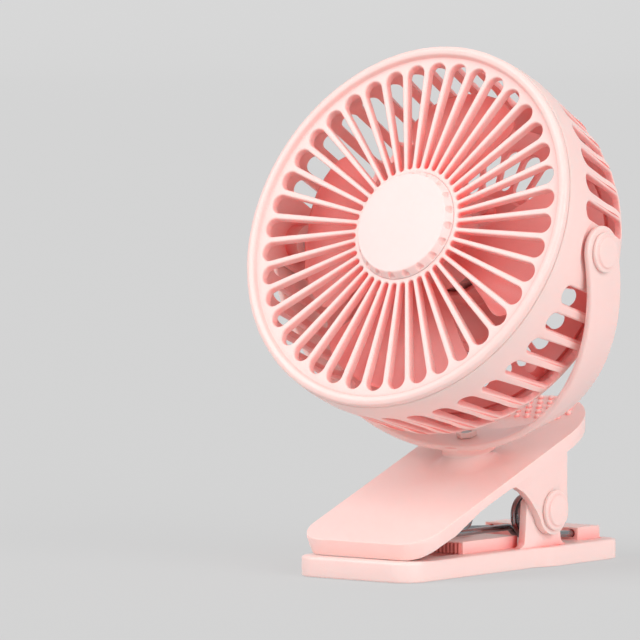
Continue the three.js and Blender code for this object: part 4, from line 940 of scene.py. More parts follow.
@dataclass
class RearHousing(Assembly):
    """The vented barrel behind the guard, with its two pivot seats."""

    radius: float = 72.4
    depth: float = 54.0
    bulge: float = 0.6
    taper: float = 2.0
    curve_depth: float = 24.0
    curve_inset: float = 12.0
    wall: float = 2.5
    seam_depth: float = 1.3
    seam_step: float = 0.6
    vent_width: float = 7.0
    vent_front: float = 12.5
    vent_back: float = 46.0
    vent_lean: float = 6.0
    vent_phase: float = 6.0
    vents: int = 40
    vent_edge: float = 0.9
    pivot_clear: float = 10.0
    pivot_depth: float = 24.1
    pad_x: float = 71.5
    pad_radius: float = 11.2
    boss_radius: float = 7.0
    boss_length: float = 8.0
    bore_radius: float = 2.9
    back_lip: float = 8.0
    facets: int = 240

    def outside(self, depth: float) -> float:
        """Outer radius at a depth behind the spokes.

        Args:
            depth: How far behind the spokes.

        Returns:
            The radius.
        """
        swell = self.radius + self.bulge
        swell_end = self.vent_front - 0.5
        curve_start = self.depth - self.curve_depth
        if depth <= swell_end:
            return swell - self.seam_step * max(0.0, (7 - depth) / 7) ** 2
        if depth <= curve_start:
            return swell - self.taper * (depth - swell_end) / (curve_start - swell_end)
        into = min(1.0, (depth - curve_start) / self.curve_depth)
        drop = (1 - math.sqrt(1 - 0.94 * into**2.2)) / (1 - math.sqrt(0.06))
        return swell - self.taper - self.curve_inset * drop

    def shell(self) -> Shape:
        """The turned barrel with its back lip.

        Returns:
            The shape.
        """
        depths = [self.seam_depth, self.seam_depth + 0.25, 2, 3, 5, 7, 9.5, 12]
        depths += [16, 20, 24, 28, 30] + [30 + 1.5 * i for i in range(1, 16)]
        outer = [(self.outside(depth), -depth) for depth in depths]
        outer[0] = (outer[0][0] - 0.3, outer[0][1])
        inner_depths = [depth for depth in depths if 28 <= depth < self.depth - 3]
        inner = [
            (self.outside(depth + 1) - self.wall, -depth)
            for depth in reversed(inner_depths)
        ]
        back = self.radius + self.bulge - self.taper - self.curve_inset
        opening = back - self.back_lip + 1.6
        profile = [
            (self.radius - self.wall, -self.seam_depth),
            *outer,
            *smooth_outline(
                [
                    (back + 0.1, -self.depth + 0.6, 0.0), (back - 0.5, -self.depth, 0.8),
                    (opening, -self.depth, 0.4), (opening, -self.depth + 2, 0.3),
                    (back - 0.6, -self.depth + 2, 0.0),
                ],
                4,
            ),
            *inner,
            (self.radius - self.wall, -12.0),
        ]
        return spun(profile, self.facets)

    def vent(self) -> Shape:
        """The tool for one vent at the top of the barrel, with a rounded mouth.

        Returns:
            The tool.
        """
        middle = (self.vent_front + self.vent_back) / 2
        reach = (self.vent_back - self.vent_front - self.vent_width) / 2
        lean = math.radians(self.vent_lean)
        levels = [(0.0, -22.0)] + rounding(self.vent_edge, 4)
        levels.append((levels[-1][0], 3.0))
        rings = []
        for grow, height in levels:
            radius = self.vent_width / 2 + grow
            points = arc(0.0, reach, radius, 0, 180, 14)
            points += arc(0.0, -reach, radius, 180, 360, 14)
            ring = []
            for across, along in points:
                x = -(across * math.cos(lean) - along * math.sin(lean))
                z = across * math.sin(lean) + along * math.cos(lean) - middle
                surface = math.sqrt(self.outside(-z) ** 2 - x**2)
                ring.append(Vector((x, surface + height, z)))
            rings.append(ring)
        return lofted(rings)

    def vent_angles(self) -> list[float]:
        """Angles of the vents, all round but for those the pivots need."""
        first = 360.0 / self.vents - self.vent_phase
        return [a for a in evenly(self.vents, first) if abs(a % 180 - 90) > self.pivot_clear]

    def build(self) -> None:
        """Makes the housing."""
        body = carved(self.shell(), around(self.vent(), self.vent_angles()))
        bars = (
            (self.boss_radius, self.pad_x - self.boss_length, self.pad_x - 1, 48),
            (self.pad_radius, self.pad_x, self.radius + 3, 64),
            (self.bore_radius, self.pad_x - self.boss_length - 1, self.radius + 2, 32),
        )
        for side in Side:
            boss, pad, bore = (
                cross_rod(
                    radius, side.value * low, side.value * high, 0.0, -self.pivot_depth, steps,
                )
                for radius, low, high, steps in bars
            )
            body = carved(carved(carved(body, boss, Carve.JOIN), pad), bore)
        for radius, deep, steps in ((1.3, 3, 24), (2.3, 1.1, 32)):
            hole = rod(radius, -self.depth - 1, -self.depth + deep, steps)
            moved(hole, shift(y=HOUSING_SCREW_CIRCLE))
            body = carved(body, around(hole, evenly(4, HOUSING_SCREW_PHASE)))
        self.piece("rear_shell", body, BARREL_PINK, "rear_housing", 34.0)


@dataclass
class RearGrille(Assembly):
    """The ribbed plate at the back, with the motor's cup on its front."""

    plate_radius: float = 57.9
    rear: float = -51.7
    thickness: float = 1.8
    slot_inner: float = 33.0
    slot_outer: float = 49.5
    rib: float = 2.0
    ribs: int = 30
    edge: float = 0.4
    facets: int = 180

    def build(self) -> None:
        """Makes the grille."""
        rear = self.rear
        front = rear + self.thickness
        body = turned(
            [
                (3.0, rear, 0.0), (17.0, rear, 0.0), (17.0, rear - 1.5, 0.0),
                (18.5, rear - 1.5, 0.0), (18.5, rear, 0.0), (self.plate_radius, rear, 0.3),
                (self.plate_radius, front, 0.3), (30.0, front, 0.5), (29.0, rear + 2.3, 0.5),
                (14.8, rear + 2.3, 0.8), (14.8, rear + 13.8, 0.5), (12.8, rear + 13.8, 0.5),
                (12.8, rear + 4.4, 0.0), (3.0, rear + 4.4, 0.0),
            ],
            4,
            self.facets,
        )
        levels = [(0.0, rear - 1.0)]
        levels += [(grow, front + height) for grow, height in rounding(self.edge)]
        levels.append((levels[-1][0], front + 1.5))
        span, ribs = (self.slot_inner, self.slot_outer), (self.rib, self.rib)
        slots = grille_slots(span, ribs, self.ribs, 180.0 / self.ribs, levels)
        body = carved(body, slots)
        posts = [
            self.post(HOUSING_SCREW_CIRCLE, angle, front)
            for angle in evenly(4, HOUSING_SCREW_PHASE)
        ]
        posts += [self.post(POD_SCREW_CIRCLE, angle, front) for angle in POD_SCREW_ANGLES]
        self.piece("rear_ribs", gathered([body, *posts]), BLADE_PINK, "rear_grille")

    def post(self, circle: float, angle: float, front: float) -> Shape:
        """One screw post on the plate's front."""
        post = softened(rod(2.8, front - 0.5, self.rear + 7, 24), 0.4)
        return moved(post, turn(angle, "Z"), shift(y=circle))


@dataclass
class Impeller(Assembly):
    """Four broad swept blades on a hub."""

    blades: int = 4
    tip: float = 60.5
    half_span: float = 35.0
    root_half_span: float = 27.0
    rise: float = 7.0
    belly: float = 1.5
    thickness: float = 1.8
    middle_depth: float = 17.5
    phase: float = -3.0
    hub_radius: float = 17.0
    hub_wall: float = 1.8
    hub_front: float = 7.5
    hub_length: float = 19.5

    def blade(self) -> Shape:
        """One blade, its middle straight up.

        Returns:
            The shape.
        """
        columns, rows = 24, 22
        root = self.hub_radius - self.hub_wall / 2
        round_from = self.tip - 12
        sheets: list[list[list[Vector]]] = [[], []]
        for row in range(rows + 1):
            radius = root + (self.tip - root) * (1 - (1 - row / rows) ** 1.4) * 0.999
            along = (radius - self.hub_radius) / (self.tip - self.hub_radius)
            wide = self.root_half_span + (self.half_span - self.root_half_span) * along
            past = max(0.0, (radius - round_from) / (self.tip - round_from))
            half = wide * math.sqrt(max(0.0, 1 - past**3))
            for sheet, face in zip(sheets, (1, -1)):
                line = []
                for i in range(columns + 1):
                    across = 2 * i / columns - 1
                    angle = math.radians(half * across)
                    lift = self.rise * half * across / self.half_span
                    lift -= self.belly * (1 - across**2) * along
                    thin = self.thickness * (1 - 0.45 * abs(across) ** 4) * (1 - 0.3 * past)
                    height = -self.middle_depth + lift + face * thin / 2
                    place = (radius * math.sin(angle), radius * math.cos(angle), height)
                    line.append(Vector(place))
                sheet.append(line)
        return lofted([front + back[::-1] for front, back in zip(*sheets)])

    def build(self) -> None:
        """Makes the impeller."""
        rear = -self.hub_front - self.hub_length
        inside = self.hub_radius - self.hub_wall
        hub = turned(
            [
                (0.0, -self.hub_front, 0.0),
                (self.hub_radius - 3.5, -self.hub_front - 0.3, 2.0),
                (self.hub_radius, -self.hub_front - 4.2, 3.0),
                (self.hub_radius, rear, 0.4),
                (inside, rear, 0.4),
                (inside, -self.hub_front - 4, 1.0),
                (4.0, -self.hub_front - 2.5, 0.5),
                (4.0, rear + 2, 0.3),
                (1.45, rear + 2, 0.0),
                (1.45, -self.hub_front - 3, 0.0),
                (0.0, -self.hub_front - 3, 0.0),
            ],
            5,
            96,
        )
        blades = around(self.blade(), evenly(self.blades, self.phase))
        self.piece("fan_blades", gathered([hub, blades]), BLADE_PINK, "impeller", 40.0)


@dataclass
class BatteryPod(Assembly):
    """The round pod behind the head, its button and its lens."""

    radius: float = 29.0
    front: float = -52.0
    rear: float = -64.0
    wall: float = 2.0
    button_drop: float = 10.0
    button_radius: float = 5.0

    def shell(self) -> Shape:
        """The pod's cup with its holes.

        Returns:
            The shape.
        """
        floor = self.rear + self.wall
        inner = self.radius - self.wall
        body = turned(
            [
                (inner, self.front, 0.0), (self.radius, self.front, 0.3),
                (self.radius, self.rear, 3.0), (0.0, self.rear, 0.0), (0.0, floor, 0.0),
                (inner, floor, 1.0),
            ],
            8,
            160,
        )
        body = carved(
            body,
            self.mouth(self.button_radius + SEAT_GAP, 0.0, -self.button_drop, 0.4),
        )
        body = carved(body, self.mouth(1.8, 11.0, -self.button_drop, 0.2))
        for angle in POD_SCREW_ANGLES:
            sink = self.mouth(2.3, 0.0, POD_SCREW_CIRCLE, 0.3)
            body = carved(body, moved(sink, turn(angle, "Z")))
        socket = block(
            (-4.9, -self.radius - 1, -58.9), (4.9, -self.radius + self.wall + 1, -55.1),
        )

        def goes_in(edge: bmesh.types.BMEdge) -> bool:
            """Whether an edge runs into the pod."""
            return abs(edge.verts[0].co.y - edge.verts[1].co.y) > 1

        return carved(body, softened(socket, 1.0, 4, where=goes_in))

    def mouth(self, radius: float, x: float, y: float, lip: float) -> Shape:
        """The tool for a round hole in the pod's back with a rounded edge.

        Args:
            radius: The hole's radius.
            x: Its place across.
            y: Its place up.
            lip: Width of the rounded edge.

        Returns:
            The tool.
        """
        levels = [(0.0, self.rear + 6.0)]
        levels += [(grow, self.rear - height) for grow, height in rounding(lip)]
        levels.append((levels[-1][0], self.rear - 1.5))
        return stacked(levels, lambda grow: arc(x, y, radius + grow, 0, 352.5, 47))

    def button(self) -> Shape:
        """The push button, dished for a fingertip.

        Returns:
            The shape.
        """
        face = self.rear - 1.2
        flange = self.rear + self.wall + SEAT_GAP
        edge = self.button_radius
        shape = turned(
            [
                (0.0, face + 0.35, 0.0), (2.4, face + 0.2, 3.0), (4.0, face, 0.6),
                (edge, face + 0.5, 0.6), (edge, flange, 0.0), (edge + 1.4, flange, 0.0),
                (edge + 1.4, flange + 1, 0.0), (2.0, flange + 1, 0.0), (2.0, -59.6, 0.0),
                (0.0, -59.6, 0.0),
            ],
            5,
            64,
        )
        return moved(shape, shift(y=-self.button_drop))

    def build(self) -> None:
        """Makes the pod's shell."""
        self.piece("pod_back", self.shell(), SHELL_PINK, "pod_shell")


@dataclass
class PowerButton(Assembly):
    """The button on the pod's back, which moves on its own."""

    def build(self) -> None:
        """Makes the button."""
        shape = BatteryPod(self.place, "fan_head").button()
        self.piece("push_button", shape, DISC_PINK, "power_button")


# ---------------------------------------------------------------- yoke


@dataclass
class Yoke(Assembly):
    """The U band that carries the head, with its foot and its capped pivots."""

    half_width: float = 75.4
    drop: float = 78.0
    thickness: float = 2.5
    arm_width: float = 20.0
    foot_width: float = 23.0
    power: float = 2.1
    neck_radius: float = 10.5
    neck_foot: float = 2.0
    neck_skirt: float = 1.0
    edge: float = 0.9
    cap_radius: float = 7.6
    cap_height: float = 2.2
    bore: float = 2.9

    def arch(self, half_width: float, drop: float, steps: int) -> list[Point]:
        """A rounded arc from the right pivot down to the foot and up again.

        Args:
            half_width: Half the arc's width.
            drop: How far down it reaches.
            steps: Straight pieces along it.

        Returns:
            The arc's points.
        """
        points = []
        for i in range(steps + 1):
            angle = math.pi * i / steps
            across, down = math.cos(angle), math.sin(angle)
            x = half_width * math.copysign(abs(across) ** (2 / self.power), across)
            points.append((x, -drop * abs(down) ** (2 / self.power)))
        return points

    def band(self) -> Shape:
        """The band, rounded at its ends and along its edges.

        Returns:
            The shape.
        """
        top = self.arm_width / 2 + 1
        inner = self.half_width - self.thickness
        outline = [
            (self.half_width, top),
            *self.arch(self.half_width, self.drop, 96),
            (-self.half_width, top),
            (-inner, top),
            *self.arch(inner, self.drop - self.thickness, 96)[::-1],
            (inner, top),
        ]
        wide = moved(plate(outline, -self.foot_width, self.foot_width), turn(90, "X"))
        side = [
            *arc(0.0, 0.0, self.arm_width / 2, 0, 180, 40),
            (-self.foot_width / 2, -self.drop - 1),
            (self.foot_width / 2, -self.drop - 1),
        ]
        reach = self.half_width + 1
        band = tidied(carved(wide, side_plate(side, -reach, reach), Carve.KEEP, exact=True), 0.2)
        softened(band, self.edge, 4, 50.0)
        bore = cross_rod(self.bore, -reach, reach, 0.0, 0.0, 40)
        return carved(band, bore)

    def foot(self) -> Shape:
        """The round pad under the band.

        Returns:
            The shape.
        """
        radius, inner = self.neck_radius, self.neck_radius - 1.1
        low = -self.drop - self.neck_foot
        high = -self.drop + self.thickness / 2
        skirt = low - self.neck_skirt
        corners = [
            (2.3, low, 0.0), (inner, low, 0.0), (inner, skirt, 0.1), (radius, skirt, 0.3),
            (radius, -self.drop - 1.2, 1.2), (radius + 1.4, -self.drop + 0.3, 0.0),
            (radius + 1.4, high, 0.0), (2.3, high, 0.0),
        ]
        return turned(corners, 6, 96)

    def build(self) -> None:
        """Makes the band and its caps."""
        body = gathered([self.band(), self.foot()])
        self.piece("yoke_band", body, SHELL_PINK, "yoke", 40.0)
        seats = (self.half_width + SEAT_GAP, 0.0, 0.0)
        self.caps("pivot_button", "pivot_cap", seats, (self.cap_radius, self.cap_height))


# ---------------------------------------------------------------- clip

JAW_SLOPE = math.radians(20.45)
JAW_TILT = Matrix.Rotation(JAW_SLOPE, 4, "X")
PIN_Y, PIN_Z = 22.4, 21.9


def jaw_top(y: float) -> float:
    """Height of the upper jaw's top face."""
    return 38.2 + math.tan(JAW_SLOPE) * y


def under_top(*places: Point) -> list[Point]:
    """Points under the upper jaw's top face, from their Y and depths."""
    return [(y, jaw_top(y) - depth) for y, depth in places]


@dataclass
class UpperJaw(Assembly):
    """The sloped lever: a shallow cover with ears on the pin and grip bumps."""

    half_width: float = 30.0
    front_y: float = -64.1
    front_corner: float = 13.0
    rear_round_y: float = 33.0
    rear_length: float = 32.0
    skin: float = 2.4
    skirt: float = 2.2
    edge_depth: float = 6.0
    waist_depth: float = 3.9
    lip_foot: float = 8.3
    lip_inset: float = 2.2
    lip_taper: float = 6.2
    lip_curve: tuple[Point, ...] = ((3.2, 0.0), (5.6, 0.9), (9.0, 2.7), (13.0, 4.9), (17.0, 6.6))
    ear: float = 3.0
    ear_boss: float = 9.3
    ear_reach: float = 25.4
    top_edge: float = 1.6
    neck_radius: float = 9.9
    rise_reach: float = 9.0
    rise_steps: int = 12
    rise_ease: float = 2.6
    neck_level: float = -81.4
    bump_rows: int = 5
    bump_front: float = 46.0
    bump_row_pitch: float = 4.1
    bump_pitch: float = 4.8
    bump: tuple[Point, ...] = (
        (1.25, -0.4), (1.25, 0.0), (1.16, 0.5), (0.85, 0.95), (0.45, 1.2), (0.0, 1.3),
        (0.0, -0.4),
    )

    def plan(self, inset: float) -> list[Point]:
        """The jaw seen from above, drawn in by an inset.

        Args:
            inset: How far the outline is drawn in.

        Returns:
            The outline's points.
        """
        half = self.half_width - inset
        corner = self.front_corner - inset
        front = self.front_y + inset
        points = arc(-half + corner, front + corner, corner, 180, 270, 18)
        points += arc(half - corner, front + corner, corner, 270, 360, 18)
        for i in range(49):
            angle = math.pi * i / 48
            y = self.rear_round_y + (self.rear_length - inset) * math.sin(angle)
            points.append((half * math.cos(angle), y))
        return points

    def blank(self, inset: float, foot: float, top: float) -> Shape:
        """The plan as a solid from a foot to a top, drawn in towards the lip's foot.

        Args:
            inset: How far the outline is drawn in.
            foot: Height of the solid's foot.
            top: Height of its top.

        Returns:
            The solid.
        """
        levels = [
            (inset + self.lip_inset, foot), (inset + self.lip_inset, self.lip_foot),
            (inset, self.lip_foot + self.lip_taper), (inset, top),
        ]
        return stacked(levels, self.plan)

    def cover(self) -> Shape:
        """The cover's solid, its top edge rounded.

        Returns:
            The shape.
        """
        ear_front = PIN_Y - self.ear_reach
        rear = self.rear_round_y + self.rear_length
        edge, waist = self.edge_depth, self.waist_depth
        outline = [
            *under_top((self.front_y - 1, 0.0)),
            (self.front_y - 1, self.lip_foot),
            *((self.front_y + along, self.lip_foot + rise) for along, rise in self.lip_curve),
            *under_top((-42.0, edge), (-26.0, waist), (ear_front - 4, waist)),
            *under_top((PIN_Y + 9, edge), (rear + 1, edge), (rear + 1, 0.0))
        ]
        reach = self.half_width + 1
        tall = jaw_top(rear) + 5
        blank = self.blank(0.0, 0.0, tall)
        solid = carved(side_plate(outline, -reach, reach), blank, Carve.KEEP, exact=True)
        tidied(solid, 0.1)

        def on_top(edge: bmesh.types.BMEdge) -> bool:
            """Whether an edge borders the top face."""
            return all(abs(vert.co.z - jaw_top(vert.co.y)) < 0.02 for vert in edge.verts)

        return softened(solid, self.top_edge, 5, 30.0, on_top)

    def hollow(self) -> Shape:
        """The space under the skin.

        Returns:
            The tool.
        """
        rear = self.rear_round_y + self.rear_length
        lip_back = self.front_y + 4
        drop = self.skin / math.cos(JAW_SLOPE)
        outline = [(lip_back, 0.0), *under_top((lip_back, drop), (rear, drop)), (rear, 0.0)]
        under = side_plate(outline, -self.half_width, self.half_width)
        blank = self.blank(self.skirt, -1.0, jaw_top(rear) + 5)
        return carved(under, blank, Carve.KEEP, exact=True)

    def ear_shape(self, side: Side) -> Shape:
        """One ear, which reaches down to the pin.

        Args:
            side: The side that the ear is on.

        Returns:
            The shape.
        """
        front = PIN_Y - self.ear_reach
        back = PIN_Y + 8.9
        outline = [
            *under_top((front - 4, self.waist_depth)),
            *self.bow(front),
            *arc(PIN_Y, PIN_Z, self.ear_boss, 200, 360, 32),
            (back, PIN_Z + 8),
            *under_top((back, self.edge_depth - 2), (front - 4, 2.0))
        ]
        inner = side.value * (self.half_width - self.ear)
        return side_plate(outline, inner, side.value * self.half_width)

    def bow(self, front: float) -> list[Point]:
        """The curved front edge of an ear.

        Args:
            front: Where the ear starts under the skin.

        Returns:
            The edge's points.
        """
        corners = [
            (*under_top((front, self.waist_depth + 0.8))[0], 0.0),
            (PIN_Y - 20, PIN_Z + 8.2, 6.0),
            (PIN_Y - 15.7, PIN_Z + 4.9, 6.0),
            (PIN_Y - 11.6, PIN_Z + 0.6, 0.0),
        ]
        return smooth_outline(corners, 5)

    def hook(self) -> Shape:
        """The hook under the skin that holds the spring's cross bar.

        Returns:
            The shape.
        """
        bar, reach, level, wall = -37.0, 1.6, 15.0, 2.5
        root = self.skin / math.cos(JAW_SLOPE) - 1
        front, foot = bar - reach - wall, level - reach
        outline = [
            *under_top((front, root)), (front, foot - 1.8), (bar + reach, foot - 1.8),
            (bar + reach, foot), (bar - reach, foot), *under_top((bar - reach, root))
        ]
        return side_plate(outline, -3.0, 3.0)

    def bumps(self) -> Shape:
        """The staggered bumps that the thumb presses.

        Returns:
            The shape.
        """
        shapes = []
        for row in range(self.bump_rows):
            y = self.bump_front + row * self.bump_row_pitch
            share = (y - self.rear_round_y) / self.rear_length
            room = min(self.half_width * math.sqrt(1 - share**2) - 5, 19.0)
            for column in range(-5, 6):
                x = (column + (row % 2) * 0.5) * self.bump_pitch + 0.7
                if abs(x) <= room:
                    shapes.append(moved(spun(self.bump, 16), shift(x, y, jaw_top(y)), JAW_TILT))
        return gathered(shapes)

    def neck_rise(self) -> Shape:
        """The boss under the yoke's foot, which flows out of the top face.

        Returns:
            The shape.
        """
        high = YOKE_FRAME @ Vector((0.0, 0.0, self.neck_level))
        rings = []
        for i in range(self.rise_steps + 1):
            t = i / self.rise_steps
            share = 1 - (1 - t) ** self.rise_ease
            radius = self.neck_radius + self.rise_reach * t * t
            ring = []
            for place in map(math.radians, evenly(72)):
                x = radius * math.cos(place)
                y = high.y + radius * math.sin(place)
                surface = min(jaw_top(y) - 0.15, high.z)
                ring.append(Vector((x, y, high.z + (surface - high.z) * share)))
            rings.append(ring)
        rings.append([spot - Vector((0.0, 0.0, 1.2)) for spot in rings[-1]])
        return lofted(rings)

    def build(self) -> None:
        """Makes the jaw."""
        body = carved(self.cover(), self.hollow(), exact=True)
        for side in Side:
            body = carved(body, self.ear_shape(side), Carve.JOIN, exact=True)
        # The rise is joined before the screw's hole goes through both.
        body = tidied(carved(body, self.neck_rise(), Carve.JOIN, exact=True), 0.1)
        body = carved(body, moved(rod(2.3, -91.0, -79.0, 24), YOKE_FRAME), exact=True)
        body = carved(body, self.hook(), Carve.JOIN, exact=True)
        body = carved(body, cross_rod(2.8, -31.0, 31.0, PIN_Y, PIN_Z, 40), exact=True)
        tidied(body, 0.1)
        softened(body, 0.4, 2, 50.0)
        self.piece("upper_lever", gathered([body, self.bumps()]), SHELL_PINK, "upper_jaw")


@dataclass
class LowerJaw(Assembly):
    """The flat plate with its platform, its lugs and its rear block."""

    height: float = 8.0
    low: float = 0.3
    front_y: float = -68.0
    rear_y: float = 68.5
    half_width: float = 28.0
    rear_half_width: float = 31.0
    step_y: float = 11.0
    step_length: float = 13.0
    front_corner: float = 10.0
    rear_corner: float = 8.0
    top_edge: float = 1.2
    lug: float = 3.0
    lug_outer: float = 26.7
    lug_boss: float = 7.8
    lug_feet: tuple[float, float] = (4.5, 35.0)
    platform: tuple[float, float, float, float] = (21.0, -25.0, 10.7, 4.5)
    rear_block: tuple[float, float, float, float] = (22.0, 50.0, 65.0, 4.7)
    slit_depth: float = 1.1
    leg_hole: tuple[float, float, float] = (19.0, 50.0, 10.4)
    slits: tuple[tuple[Point, Point], ...] = (
        ((25.5, 26.5), (28.4, 30.5)), ((22.4, 51.0), (23.6, 56.0)), ((22.4, 58.0), (23.6, 64.0)),
    )

    def plan(self) -> list[Point]:
        """The plate seen from above: it widens over a soft step.

        Returns:
            The outline's points.
        """
        near, far = self.half_width, self.rear_half_width
        corner = self.front_corner
        right = arc(near - corner, self.front_y + corner, corner, 270, 360, 18)
        for i in range(19):
            t = i / 18
            blend = t * t * (3 - 2 * t)
            right.append((near + (far - near) * blend, self.step_y + self.step_length * t))
        corner = self.rear_corner
        right += arc(far - corner, self.rear_y - corner, corner, 0, 90, 16)
        return right + [(-x, y) for x, y in reversed(right)]

    def lug_shape(self, side: Side) -> Shape:
        """One lug, an A that carries the pin.

        Args:
            side: The side that the lug is on.

        Returns:
            The shape.
        """
        base = self.height
        front, rear = self.lug_feet
        outline = [
            (front, base - 1),
            (rear, base - 1),
            (rear, base + 0.2),
            *smooth_outline(
                [(33.6, base + 0.4, 0.0), (31.8, base + 1.6, 3.0), (31.3, base + 5.0, 0.0)],
                5,
            ),
            *arc(PIN_Y, PIN_Z, self.lug_boss, 0, 70, 14),
            (PIN_Y - 8, PIN_Z + self.lug_boss * 0.9),
            (9.2, PIN_Z + 4),
            *smooth_outline(
                [(8.0, base + 5.0, 0.0), (7.6, base + 1.6, 3.0), (5.9, base + 0.4, 0.0)],
                5,
            ),
            (front, base + 0.2),
        ]
        inner = side.value * (self.lug_outer - self.lug)
        return side_plate(outline, inner, side.value * self.lug_outer)

    def build(self) -> None:
        """Makes the jaw."""
        body = plate(self.plan(), self.low, self.height)
        for level, edge_width, steps in ((self.height, self.top_edge, 5), (self.low, 0.7, 3)):

            def level_edge(edge: bmesh.types.BMEdge, level: float = level) -> bool:
                """Whether an edge lies at the level."""
                return all(abs(vert.co.z - level) < 0.01 for vert in edge.verts)

            softened(body, edge_width, steps, 60.0, level_edge)
        top = self.height
        for side in Side:
            for low, high in self.slits:
                near, far = sorted((side.value * low[0], side.value * high[0]))
                slit = block((near, low[1], top - self.slit_depth), (far, high[1], top + 1))
                body = carved(body, slit, exact=True)
        raised = [
            block((-half, front, top - 1), (half, rear, top + rise))
            for half, front, rear, rise in (self.platform, self.rear_block)
        ]
        raised += [self.lug_shape(side) for side in Side]
        for part in raised:
            body = carved(body, part, Carve.JOIN, exact=True)
        # The pin's bore, the holes of the wire's legs and the pockets of both pads.
        sunk = [cross_rod(2.8, -30.0, 30.0, PIN_Y, PIN_Z, 40)]
        for side in Side:
            x, y, z = self.leg_hole
            sunk.append(moved(rod(1.6, -1.0, 4.5), shift(side.value * x, y, z), turn(-90, "X")))
        sunk.append(block((-21.3, -60.3, -1.0), (21.3, 60.3, 1.8)))
        sunk.append(block((-19.3, -57.3, 6.9), (19.3, -26.7, 9.0)))
        for part in sunk:
            body = carved(body, part, exact=True)
        tidied(body, 0.1)
        softened(body, 0.5, 3, 50.0)
        self.piece("lower_plate", body, SHELL_PINK, "lower_jaw")


@dataclass
class GripPads(Assembly):
    """Ribbed silicone pads in the clip's mouth and the pad that it stands on."""

    half_width: float = 19.0
    thickness: float = 2.2
    rib_height: float = 0.8
    ribs: int = 9
    stop_half: float = 20.7
    stop_front: float = -27.5
    stop_rear: float = -25.3
    stop_low: float = 8.3
    stop_high: float = 12.2
    stop_ribs: int = 23
    grooves: int = 19

    def ribbed(self, front: float, rear: float, base: float, facing: int) -> Shape:
        """A pad with rounded ribs across it, facing up or down.

        Args:
            front: Where the pad starts along Y.
            rear: Where it ends.
            base: Height of its flat face.
            facing: 1 for ribs that look up, -1 for down.

        Returns:
            The shape.
        """
        step = (rear - front) / self.ribs
        face = base + facing * (self.thickness - self.rib_height)
        crest = face + facing * self.rib_height
        corners = [(front, base, 0.3), (front, face, 0.2)]
        for i in range(self.ribs):
            y = front + i * step
            corners += [
                (y + 0.2 * step, face, 0.15), (y + 0.33 * step, crest, 0.3),
                (y + 0.67 * step, crest, 0.3), (y + 0.8 * step, face, 0.15),
            ]
        corners += [(rear, face, 0.2), (rear, base, 0.3)]
        shape = side_plate(smooth_outline(corners, 3), -self.half_width, self.half_width)
        return softened(shape, 0.25, 2, 60.0)

    def stop(self) -> Shape:
        """The upright wall at the pad's rear end, with upright ribs on its front.

        Returns:
            The shape.
        """
        half, front, rear = self.stop_half, self.stop_front, self.stop_rear
        step = 2 * (half - 0.6) / self.stop_ribs
        corners = [(half, rear, 0.3), (-half, rear, 0.3), (-half, front + 0.1, 0.4)]
        for i in range(self.stop_ribs):
            x = -half + 0.6 + i * step
            corners += [
                (x + 0.15 * step, front, 0.2), (x + 0.55 * step, front, 0.2),
                (x + 0.7 * step, front + 0.55, 0.15), (x + 0.95 * step, front + 0.55, 0.15),
            ]
        corners.append((half, front + 0.1, 0.4))
        return plate(smooth_outline(corners, 2), self.stop_low, self.stop_high)

    def foot(self) -> Shape:
        """The pad that the clip stands on, with shallow grooves.

        Returns:
            The shape.
        """
        body = softened(block((-21.0, -60.0, 0.0), (21.0, 60.0, 1.5)), 0.4, 3, 60.0)
        grooves = [
            block((-17.0, -54.0 + 6 * i, -1.0), (17.0, -52.6 + 6 * i, 0.35))
            for i in range(self.grooves)
        ]
        return carved(body, gathered(grooves))

    def build(self) -> None:
        """Makes the pads of the lower jaw."""
        pad = carved(self.ribbed(-57.0, -27.0, 7.2, 1), self.stop(), Carve.JOIN, exact=True)
        self.piece("lower_grip", pad, GRIP_PINK, "lower_grip_pad")
        self.piece("foot_sole", self.foot(), FOOT_RUBBER, "foot_pad")


@dataclass
class UpperGrip(Assembly):
    """The ribbed pad under the upper jaw."""

    def build(self) -> None:
        """Makes the pad, set along the jaw's slope."""
        slant = 1 / math.cos(JAW_SLOPE)
        front, rear = -57.5, -42.0
        middle, half = (front + rear) / 2, (rear - front) / 2 * slant
        pad = GripPads(self.place, self.body).ribbed(-half, half, 0.0, -1)
        seat = jaw_top(middle) - 2.4 * slant - SEAT_GAP * slant
        self.piece(
            "upper_grip",
            moved(pad, shift(0.0, middle, seat), JAW_TILT),
            GRIP_PINK,
            "upper_grip_pad",
        )


